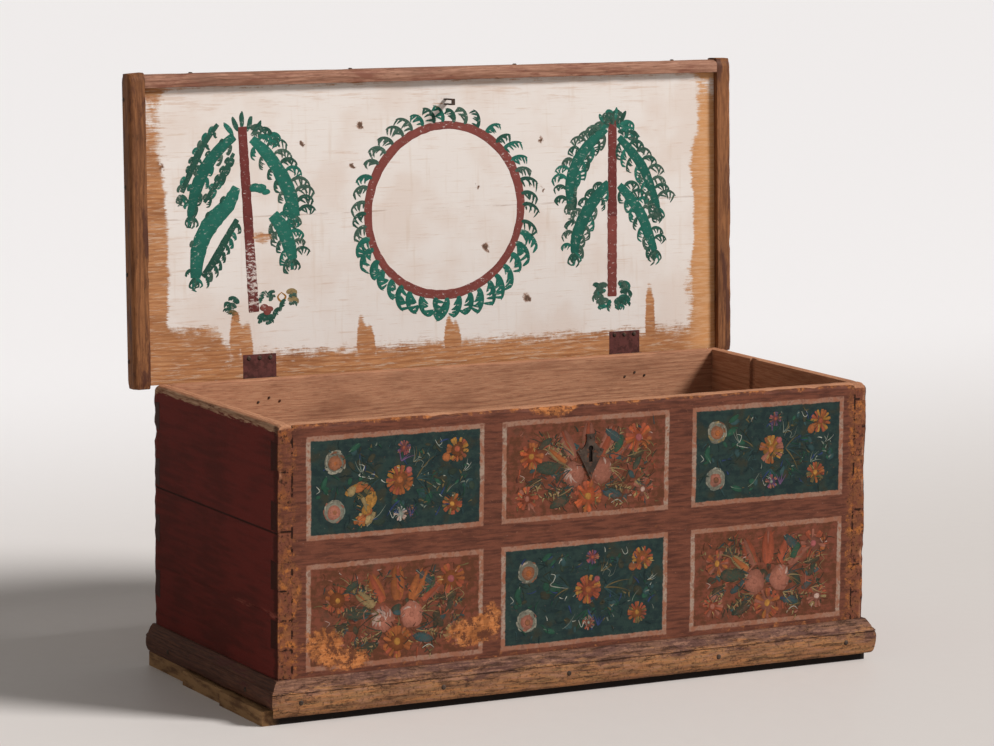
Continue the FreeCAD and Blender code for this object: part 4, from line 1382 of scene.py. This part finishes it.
def red_panel(name, column, row, seed, tulips, bright):
    """A red field: a fan of tulips over two pale roses, an orange flower below and flowers in the corners."""
    panel = Panel(seed, column, row)
    panel.wash((LEAF_DARK, PANEL_OLIVE, PANEL_BROWN, LEAF_TEAL), (
        (0.36, 0.66, 20.0), (0.30, 0.42, 22.0), (0.30, 0.20, 18.0), (0.68, 0.66, 20.0), (0.72, 0.42, 22.0),
        (0.70, 0.20, 18.0), (0.50, 0.50, 20.0), (0.16, 0.50, 14.0), (0.84, 0.50, 14.0)))
    panel.thicket(170, (OLIVE, PANEL_OLIVE, LEAF_DARK, LEAF_TEAL, PANEL_BROWN, PANEL_BROWN,
                        CORAL, ROSE, RAIL_DEEP))
    for leaf in (
            (0.36, 0.50, 176.0, 56.0, LEAF_DARK, LEAF_TEAL),
            (0.62, 0.90, -40.0, 42.0, LEAF_TEAL, CHALK),
            (0.73, 0.82, 245.0, 36.0, LEAF_GREEN, LEAF_DARK),
            (0.60, 0.22, -15.0, 40.0, LEAF_TEAL, BLUE),
            (0.40, 0.18, 200.0, 42.0, LEAF_DARK, CHALK),
            (0.28, 0.84, 215.0, 30.0, LEAF_DARK, OLIVE),
            (0.22, 0.40, 200.0, 32.0, PANEL_OLIVE, OLIVE_PALE),
            (0.76, 0.58, 10.0, 34.0, PANEL_OLIVE, OLIVE_PALE),
            (0.80, 0.42, 60.0, 26.0, LEAF_DARK, OLIVE)):
        panel.leaf(*leaf)
    for across, up, heading, bend in (
            (0.42, 0.62, 140.0, 40.0), (0.40, 0.48, 175.0, 30.0), (0.42, 0.30, 205.0, -30.0),
            (0.62, 0.62, 40.0, -40.0), (0.64, 0.46, 5.0, -30.0), (0.62, 0.28, -25.0, 30.0),
            (0.26, 0.70, 110.0, 50.0), (0.80, 0.58, 70.0, -50.0), (0.22, 0.36, 190.0, 40.0),
            (0.82, 0.30, -15.0, 40.0)):
        panel.spray(across, up, heading, 5, 38.0, bend, (OLIVE, OLIVE_PALE, LEAF_DARK, LEAF_TEAL), 2.8)
    for twig in (
            (0.40, 0.60, 150.0), (0.38, 0.66, 125.0), (0.34, 0.72, 160.0), (0.64, 0.62, 35.0),
            (0.66, 0.68, 60.0), (0.36, 0.30, 215.0), (0.34, 0.22, 190.0), (0.40, 0.24, 235.0),
            (0.66, 0.30, -30.0), (0.70, 0.24, -10.0), (0.64, 0.20, -55.0), (0.22, 0.46, 250.0),
            (0.20, 0.34, 215.0), (0.82, 0.58, 85.0), (0.84, 0.46, -60.0), (0.30, 0.52, 175.0),
            (0.74, 0.50, 10.0)):
        panel.buds(*twig, 9, 40.0, (OLIVE, OLIVE_PALE, OLIVE_PALE, ROSE, LEAF_DARK))
    for tulip in (
            (0.42, 0.60, 52.0, 116.0, *tulips),
            (0.51, 0.61, 56.0, 90.0, *tulips),
            (0.595, 0.60, 54.0, 64.0, *tulips),
            (0.37, 0.56, 40.0, 142.0, OLIVE_PALE, ORANGE),
            (0.66, 0.58, 40.0, 38.0, ROSE, CORAL)):
        panel.tulip(*tulip)
    panel.rose(0.42, 0.42, 23.0, 120.0)
    panel.rose(0.595, 0.44, 23.0, 60.0)
    for daisy in (
            (0.51, 0.17, 26.0, 6, (bright, ORANGE, CORAL), AMBER, 30.0),
            (0.155, 0.66, 22.0, 5, (bright, CORAL, ORANGE), AMBER),
            (0.83, 0.78, 25.0, 5, (bright, CORAL, ORANGE), PINK, 40.0),
            (0.13, 0.20, 20.0, 5, (CORAL, ROSE, bright), ROSE, 15.0),
            (0.86, 0.20, 20.0, 5, (ROSE, CORAL, OLIVE_PALE), ROSE_PALE)):
        panel.daisy(*daisy)
    panel.scroll(1.6, ROSE_PALE, (0.08, 0.46), (0.11, 0.43), (0.09, 0.39))
    panel.scroll(1.6, OLIVE_PALE, (0.88, 0.66), (0.91, 0.60), (0.88, 0.54), (0.90, 0.48))
    panel.scroll(1.8, WHITE, (0.66, 0.08), (0.70, 0.11), (0.73, 0.07))
    panel.dots(44, (OLIVE_PALE, OLIVE, ROSE_PALE, LEAF_DARK, CORAL), (0.06, 0.06), (0.95, 0.95))
    panel.lay(name)


def amber_cluster(name, column, row, seed):
    """The yellow petals that curve round the lower rosette of the first green field."""
    panel = Panel(seed, column, row)
    chance = panel.chance
    for across, up, *stroke in (
            (0.205, 0.40, 55.0, 34.0, 12.0, -60.0, AMBER), (0.225, 0.44, 40.0, 36.0, 10.0, -50.0, OLIVE_PALE),
            (0.27, 0.49, 5.0, 34.0, 12.0, -60.0, ORANGE), (0.315, 0.45, -40.0, 32.0, 11.0, -40.0, OLIVE),
            (0.36, 0.42, 265.0, 34.0, 17.0, -20.0, AMBER), (0.345, 0.36, 258.0, 40.0, 15.0, -25.0, AMBER),
            (0.35, 0.24, 240.0, 34.0, 13.0, -30.0, ORANGE), (0.315, 0.22, 245.0, 28.0, 11.0, 20.0, AMBER),
            (0.29, 0.20, 265.0, 24.0, 9.0, 20.0, YELLOW), (0.325, 0.14, 235.0, 14.0, 9.0, 30.0, ORANGE),
            (0.27, 0.40, 330.0, 26.0, 10.0, -40.0, OLIVE), (0.30, 0.36, 300.0, 24.0, 10.0, -30.0, OLIVE_PALE),
            (0.265, 0.16, 300.0, 22.0, 11.0, 40.0, AMBER), (0.25, 0.10, 20.0, 26.0, 10.0, 20.0, ORANGE),
            (0.37, 0.20, 250.0, 26.0, 10.0, -30.0, OLIVE_PALE)):
        panel.comma(panel.at(across, up), *stroke)
    for across, up, radius, colour in (
            (0.345, 0.32, 14.0, AMBER), (0.325, 0.22, 12.0, AMBER), (0.295, 0.13, 11.0, ORANGE),
            (0.335, 0.12, 9.0, OLIVE_PALE), (0.235, 0.44, 10.0, OLIVE_PALE), (0.28, 0.47, 11.0, ORANGE)):
        panel.dab(panel.at(across, up), radius, colour, squash=0.8, turn=0.8, ragged=0.3)
    for _ in range(16):
        spot = panel.at(chance.uniform(0.22, 0.37), chance.uniform(0.08, 0.50))
        panel.comma(spot, chance.uniform(0.0, 360.0), chance.uniform(5.0, 10.0), 2.6, 40.0,
                    chance.choice((PANEL_BROWN, LEAF_DARK, YELLOW, OLIVE)), steps=4)
    panel.lay(name)


def make_camera():
    yaw, pitch, roll = (math.radians(value) for value in (CAMERA_YAW, CAMERA_PITCH, CAMERA_ROLL))
    ahead = Vector((math.sin(yaw) * math.cos(pitch), math.cos(yaw) * math.cos(pitch), math.sin(pitch)))
    level = Vector((math.cos(yaw), -math.sin(yaw), 0.0))
    above = level.cross(ahead)
    right = level * math.cos(roll) + above * math.sin(roll)
    up = above * math.cos(roll) - level * math.sin(roll)
    data = bpy.data.cameras.new("camera")
    data.sensor_width = SENSOR_WIDTH
    data.lens = CAMERA_LENS
    data.clip_start = CLIP_NEAR
    data.clip_end = CLIP_FAR
    camera = bpy.data.objects.new("camera", data)
    camera.matrix_world = Matrix.Translation(CAMERA_PLACE) @ Matrix((right, up, -ahead)).transposed().to_4x4()
    bpy.context.scene.collection.objects.link(camera)
    bpy.context.scene.camera = camera


def make_studio():
    half = FLOOR_HALF_METRES
    mesh = bpy.data.meshes.new("floor")
    corners = [(-half, -half, 0.0), (half, -half, 0.0), (half, half, 0.0), (-half, half, 0.0)]
    mesh.from_pydata(corners, [], [(0, 1, 2, 3)])
    mesh.materials.append(floor_finish("pale_floor"))
    floor = bpy.data.objects.new("floor", mesh)
    bpy.context.scene.collection.objects.link(floor)
    data = bpy.data.lights.new("key", "SUN")
    data.energy = SUN_STRENGTH
    data.angle = math.radians(SUN_ANGLE)
    key = bpy.data.objects.new("key", data)
    key.rotation_mode = "QUATERNION"
    key.rotation_quaternion = Vector(SUN_TOWARDS).to_track_quat("-Z", "Y")
    bpy.context.scene.collection.objects.link(key)
    world = bpy.data.worlds.new("studio")
    world.use_nodes = True
    nodes, links = world.node_tree.nodes, world.node_tree.links
    fill = nodes["Background"]
    fill.inputs["Color"].default_value = SKY
    fill.inputs["Strength"].default_value = WORLD_STRENGTH
    backdrop = nodes.new("ShaderNodeBackground")
    backdrop.inputs["Color"].default_value = BACKDROP
    path = nodes.new("ShaderNodeLightPath")
    chosen = nodes.new("ShaderNodeMixShader")
    links.new(path.outputs["Is Camera Ray"], chosen.inputs[0])
    links.new(fill.outputs["Background"], chosen.inputs[1])
    links.new(backdrop.outputs["Background"], chosen.inputs[2])
    links.new(chosen.outputs["Shader"], nodes["World Output"].inputs["Surface"])
    bpy.context.scene.world = world
    bpy.context.scene.view_settings.view_transform = "Standard"


def dress(nodes, material, bevel):
    """Give CAD nodes a finish and softened edges."""
    for name in nodes:
        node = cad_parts[name]
        node.data.materials.clear()
        node.data.materials.append(material)
        soft = node.modifiers.new("softened", "BEVEL")
        soft.width = bevel * MM
        soft.segments = 2
        soft.limit_method = "ANGLE"


class Edge:
    """An arris that has worn: its axis, its place on the other two axes, the way in, and how deep."""

    def __init__(self, axis, place, inward, reach, depth, seed):
        self.axis = axis
        self.others = [other for other in (X, Y, Z) if other != axis]
        self.place = place
        self.inward = Vector(inward).normalized()
        self.reach = reach
        self.depth = depth
        self.seed = seed

    def shift(self, spot):
        away = math.hypot(spot[self.others[0]] - self.place[0], spot[self.others[1]] - self.place[1])
        result = Vector((0.0, 0.0, 0.0))
        if away >= self.reach:
            return result
        along = spot[self.axis]
        slow = noise.noise(Vector((along / WEAR_SLOW, self.seed, 0.0)))
        quick = noise.noise(Vector((along / WEAR_QUICK, self.seed, 7.0)))
        chip = max(0.0, noise.noise(Vector((along / WEAR_CHIP, self.seed, 3.0))) - CHIP_START)
        amount = self.depth * max(0.05, 0.40 + 0.55 * slow + 0.35 * quick + 1.7 * chip)
        for other, part in zip(self.others, self.inward):
            result[other] = part * amount * (1.0 - away / self.reach) ** 0.7
        return result


def slice_mesh(edit, axis, place, within=None):
    """Cut the mesh by an upright or level plane, or only the part of it inside some limits."""
    faces = edit.faces
    if within:
        limit_axis, low, high = within
        faces = [face for face in edit.faces if low < face.calc_center_median()[limit_axis] < high]
    verts = {vert for face in faces for vert in face.verts}
    edges = {edge for face in faces for edge in face.edges}
    normal = Vector((0.0, 0.0, 0.0))
    normal[axis] = 1.0
    bmesh.ops.bisect_plane(edit, geom=list(verts) + list(edges) + list(faces), dist=CUT_MERGE,
                           plane_co=normal * place, plane_no=normal)


def steps(low, high, pitch=SLICE):
    """Places of even cuts between two limits."""
    count = max(1, round((high - low) / pitch))
    return [low + (high - low) * index / count for index in range(1, count)]


def weathered(node, body, material, edges, cuts, local=None):
    """A copy of a board with softened joints and worn arrises, in place of the plain one.

    Each cut is an axis, places along it and, where only part of the board is cut, its limits.
    """
    shift = local or Matrix.Identity(4)
    edit = bmesh.new()
    edit.from_mesh(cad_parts[node].data)
    edit.transform(shift.inverted() @ Matrix.Scale(1.0 / MM, 4))
    bmesh.ops.remove_doubles(edit, verts=edit.verts, dist=WELD)
    bmesh.ops.dissolve_limit(edit, angle_limit=math.radians(FLAT_ANGLE), verts=edit.verts, edges=edit.edges)
    sharp = [edge for edge in edit.edges
             if len(edge.link_faces) == 2 and edge.calc_face_angle() > math.radians(SHARP_ANGLE)]
    bmesh.ops.bevel(edit, geom=sharp, offset=JOINT_SOFTNESS, segments=2, profile=0.5, affect="EDGES",
                    clamp_overlap=True)
    for axis, places, *within in cuts:
        for place in places:
            slice_mesh(edit, axis, place, *within)
    for vert in edit.verts:
        moved = Vector((0.0, 0.0, 0.0))
        for edge in edges:
            moved += edge.shift(vert.co)
        vert.co += moved
    edit.transform(Matrix.Scale(MM, 4) @ shift)
    mesh = bpy.data.meshes.new(node + "_worn")
    edit.to_mesh(mesh)
    edit.free()
    mesh.materials.append(material)
    mesh.shade_smooth()
    mesh.set_sharp_from_angle(angle=math.radians(SMOOTH_ANGLE))
    piece = bpy.data.objects.new(node + "_worn", mesh)
    even = piece.modifiers.new("even_faces", "WEIGHTED_NORMAL")
    even.keep_sharp = True
    even.weight = 100
    bpy.context.scene.collection.objects.link(piece)
    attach(piece, body)
    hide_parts(node)


def carcass_edges():
    """Upright corners and rim of the carcass."""
    edges = []
    for step, (across, back, depth) in enumerate(((-1, -1, 3.4), (1, -1, 5.0), (-1, 1, 5.0), (1, 1, 4.0))):
        side, inner_side = across * SIDE_FACE, across * (SIDE_FACE - WALL)
        face, inner_face = back * HALF_DEPTH, back * (HALF_DEPTH - WALL)
        edges += [
            Edge(Z, (side, face), (-across, -back), 12.0, depth, 10.0 + step),
            Edge(Y, (side, RIM), (-across * 0.4, -1.0), 9.0, 2.2, 20.0 + step),
            Edge(Y, (inner_side, RIM), (across, -1.0), 6.0, 1.2, 30.0 + step),
            Edge(X, (face, RIM), (-back, -1.0), 9.0, 3.0, 40.0 + step),
            Edge(X, (inner_face, RIM), (back, -1.0), 6.0, 1.4, 50.0 + step),
        ]
    return edges


def plinth_edges():
    """Top, step, foot and outer corners of the plinth."""
    edges = [
        Edge(X, (-HALF_DEPTH - PLINTH_NOSE, PLINTH_TOP), (1.0, -1.0), 6.0, 2.2, 60.0),
        Edge(X, (-PLINTH_FACE, PLINTH_STEP), (1.0, -0.6), 6.0, 2.0, 61.0),
        Edge(X, (-PLINTH_FACE, PLINTH_FOOT), (1.0, 1.0), 11.0, 3.6, 62.0),
    ]
    for side in (-1, 1):
        end, nose = side * PLINTH_END, side * (SIDE_FACE + PLINTH_NOSE)
        edges += [
            Edge(Z, (end, -PLINTH_FACE), (-side, 1.0), 10.0, 4.0, 63.0 + side),
            Edge(Z, (end, HALF_DEPTH), (-side, -1.0), 10.0, 4.0, 66.0 + side),
            Edge(Y, (end, PLINTH_STEP), (-side, -0.6), 6.0, 2.0, 69.0 + side),
            Edge(Y, (end, FLOOR_OF_WALLS), (-side, 1.0), 10.0, 3.0, 72.0 + side),
            Edge(Y, (nose, PLINTH_TOP), (-side, -1.0), 6.0, 2.2, 75.0 + side),
        ]
    return edges


def lid_edges():
    """Arrises of the lid, across, up its face and out from it."""
    edges = [
        Edge(X, (LID_LOW, 0.0), (1.0, -1.0), 6.0, 1.4, 80.0),
        Edge(X, (LID_HIGH, LID_LIP), (1.0, -1.0), 6.0, 1.6, 81.0),
        Edge(X, (RAIL_HIGH, LID_LIP), (-1.0, -1.0), 10.0, 2.4, 82.0),
        Edge(X, (RAIL_HIGH, -LID_THICK), (-1.0, 1.0), 10.0, 2.4, 83.0),
    ]
    for side in (-1, 1):
        for up, way in ((CLEAT_LOW, 1.0), (CLEAT_HIGH, -1.0)):
            corner = side * up / CLEAT_HIGH
            edges += [
                Edge(X, (up, LID_LIP), (way, -1.0), 11.0, 3.6, 85.0 + corner),
                Edge(X, (up, -LID_THICK), (way, 1.0), 11.0, 3.0, 88.0 + corner),
                Edge(Z, (side * CLEAT_EDGE, up), (-side, way), 12.0, 4.0, 91.0 + corner),
            ]
        edges += [
            Edge(Y, (side * LID_EDGE, LID_LIP), (side, -1.0), 6.0, 1.8, 94.0 + side),
            Edge(Y, (side * CLEAT_EDGE, LID_LIP), (-side, -1.0), 12.0, 3.2, 97.0 + side),
        ]
    return edges


# How far from a worn arris the extra cuts lie, and how far in from a corner the level cuts go
GAPS = (2.0, 5.0, 9.0)
FEW_GAPS = (2.0, 5.0)
MANY_GAPS = (2.0, 5.0, 9.0, 13.0)
BROAD_GAPS = (3.0, 7.0)
CLEAT_GAPS = (3.0, 7.0, 11.0)
CORNER_BAND = 26.0


def near(place, inward, gaps=GAPS):
    """Places of the extra cuts beside a worn arris."""
    return [place + inward * gap for gap in gaps]


def both(reach, gaps=GAPS):
    """Places of the extra cuts beside a pair of arrises, as far to either side."""
    return near(-reach, 1.0, gaps) + near(reach, -1.0, gaps)


def corner_cuts(axis, reach):
    """Level cuts that go through the corners only, at either end of an axis."""
    levels = steps(FLOOR_OF_WALLS, RIM)
    return [(Z, levels, (axis, -reach - 1.0, CORNER_BAND - reach)),
            (Z, levels, (axis, reach - CORNER_BAND, reach + 1.0))]


make_camera()
make_studio()

front_board = front_paint("red_painted_front")
front_strokes = front_paint("front_flower_paint", pigment=True)
lid_board = lid_paint("cream_painted_lid")
lid_strokes = lid_paint("lid_leaf_paint", pigment=True)
oxblood_side = side_paint("oxblood_side")
bottom_wood = base_wood("bare_pine")
back_board = back_wood("rough_back_pine")
cleat_wood = worn_wood("worn_cleat", Z, CLEAT_PALE, CLEAT_BROWN, CLEAT_DARK, RAIL_DEEP, 0.50)
rail_wood = worn_wood("worn_rail", X, LID_RAIL_PALE, LID_RAIL_MID, LID_RAIL_DARK, LID_RAIL_RED, 0.50)
plinth_front_wood = plinth_wood("worn_plinth")
plinth_side_wood = worn_wood(
    "worn_side_plinth", Y, SIDE_PLINTH_PALE, SIDE_PLINTH_MID, SIDE_PLINTH_DARK, OXBLOOD_DEEP, 0.52)
black_iron = iron("wrought_iron", IRON_PALE, IRON_DARK, RUST, 0.08)
hinge_iron = iron("painted_iron", HINGE_RED, HINGE_DARK, HINGE_RED, 0.16)

FRONTS = ["front_lower_board", "front_upper_board"]
SIDES = [f"{side}_{level}_board" for side in ("left", "right") for level in ("lower", "middle", "upper")]
BACKS = [f"back_{level}_board" for level in ("lower", "middle", "upper")]
BOTTOMS = [f"bottom_{place}_board" for place in ("front", "middle", "rear")]
LEAVES = [f"hinge_{side}_lid_leaf" for side in ("left", "right")]
LID_BOARDS = ["lid_front_board", "lid_rear_board"]
ENDS = (("left", -1.0), ("right", 1.0))

LONG_CUTS = (X, steps(-SIDE_FACE, SIDE_FACE))
RIM_CUTS = (Z, near(RIM, -1.0))
worn_carcass = carcass_edges()
worn_plinth = plinth_edges()
worn_lid = lid_edges()

for names, way, slot, finish in (
        (FRONTS, 1.0, "red_painted_pine", front_board), (BACKS, -1.0, "bare_pine", back_board)):
    rows = near(-way * HALF_DEPTH, way) + near(-way * (HALF_DEPTH - WALL), -way, FEW_GAPS)
    cuts = [(X, both(SIDE_FACE, MANY_GAPS)), RIM_CUTS, (Y, rows), LONG_CUTS] + corner_cuts(X, SIDE_FACE)
    for name in names:
        weathered(name, "chest", finish, worn_carcass, cuts)
for name in SIDES:
    side = -1.0 if name.startswith("left") else 1.0
    columns = near(side * SIDE_FACE, -side) + near(side * (SIDE_FACE - WALL), side, FEW_GAPS)
    cuts = [(X, columns), (Y, both(HALF_DEPTH, MANY_GAPS)), RIM_CUTS, (Y, steps(-HALF_DEPTH, HALF_DEPTH))]
    cuts += corner_cuts(Y, HALF_DEPTH)
    weathered(name, "chest", oxblood_side, worn_carcass, cuts)
for end, side in ENDS:
    rows = near(-PLINTH_FACE, 1.0) + near(HALF_DEPTH, -1.0) + steps(-PLINTH_FACE, HALF_DEPTH)
    columns = near(side * PLINTH_END, -side, BROAD_GAPS)
    cuts = [(Y, rows), (X, columns), (Z, steps(FLOOR_OF_WALLS, PLINTH_TOP, PLINTH_SLICE))]
    weathered("plinth_" + end, "chest", plinth_side_wood, worn_plinth, cuts)
columns = both(PLINTH_END) + steps(-PLINTH_END, PLINTH_END)
rows = near(-PLINTH_FACE, 1.0, BROAD_GAPS)
cuts = [(X, columns), (Y, rows), (Z, steps(PLINTH_FOOT, PLINTH_TOP, PLINTH_SLICE))]
weathered("plinth_front", "chest", plinth_front_wood, worn_plinth, cuts)
for name in LID_BOARDS:
    cuts = [(Y, near(LID_LOW, 1.0)), (Z, near(0.0, -1.0, FEW_GAPS)), LONG_CUTS]
    weathered(name, "lid", lid_board, worn_lid, cuts, LID_LOCAL)
levels = near(LID_LIP, -1.0) + near(-LID_THICK, 1.0)
cuts = [(Y, steps(LID_HIGH, RAIL_HIGH, RAIL_SLICE)), (Z, levels), LONG_CUTS]
weathered("lid_front_rail", "lid", rail_wood, worn_lid, cuts, LID_LOCAL)
for end, side in ENDS:
    columns = near(side * LID_EDGE, side, FEW_GAPS) + near(side * CLEAT_EDGE, -side, CLEAT_GAPS)
    rows = near(CLEAT_LOW, 1.0) + near(CLEAT_HIGH, -1.0) + steps(CLEAT_LOW, CLEAT_HIGH)
    levels = near(LID_LIP, -1.0) + near(-LID_THICK, 1.0, BROAD_GAPS)
    cuts = [(X, columns), (Y, rows), (Z, levels)]
    weathered(f"lid_{end}_cleat", "lid", cleat_wood, worn_lid, cuts, LID_LOCAL)

finished = FRONTS + BACKS + SIDES + BOTTOMS + LEAVES + LID_BOARDS
finished += ["plinth_front", "plinth_left", "plinth_right"]
finished += ["lid_front_rail", "lid_left_cleat", "lid_right_cleat"]
dress(BOTTOMS, bottom_wood, BOTTOM_SOFTNESS)
dress(LEAVES, hinge_iron, LEAF_SOFTNESS)
dress([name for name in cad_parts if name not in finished], black_iron, IRON_SOFTNESS)

make_wreath()
make_left_tree()
make_right_tree()
green_panel("flowers_left_top", 0, 1, 41, (FADED, CHALK), (ORANGE, AMBER, CORAL), (WHITE, ROSE_PALE, BLUE))
green_panel("flowers_middle_low", 1, 0, 42, (ROSE_PALE, FADED), (CORAL, ORANGE, AMBER), (ROSE, CORAL))
green_panel("flowers_right_top", 2, 1, 43, (OLIVE_PALE, CHALK), (AMBER, ROSE, ORANGE), (PURPLE, ROSE, PINK))
red_panel("flowers_middle_top", 1, 1, 44, (ROSE, CORAL), VERMILION)
red_panel("flowers_left_low", 0, 0, 45, (ORANGE, CORAL), ORANGE)
red_panel("flowers_right_low", 2, 0, 46, (CORAL, ROSE), ROSE)
amber_cluster("flowers_amber", 0, 1, 47)
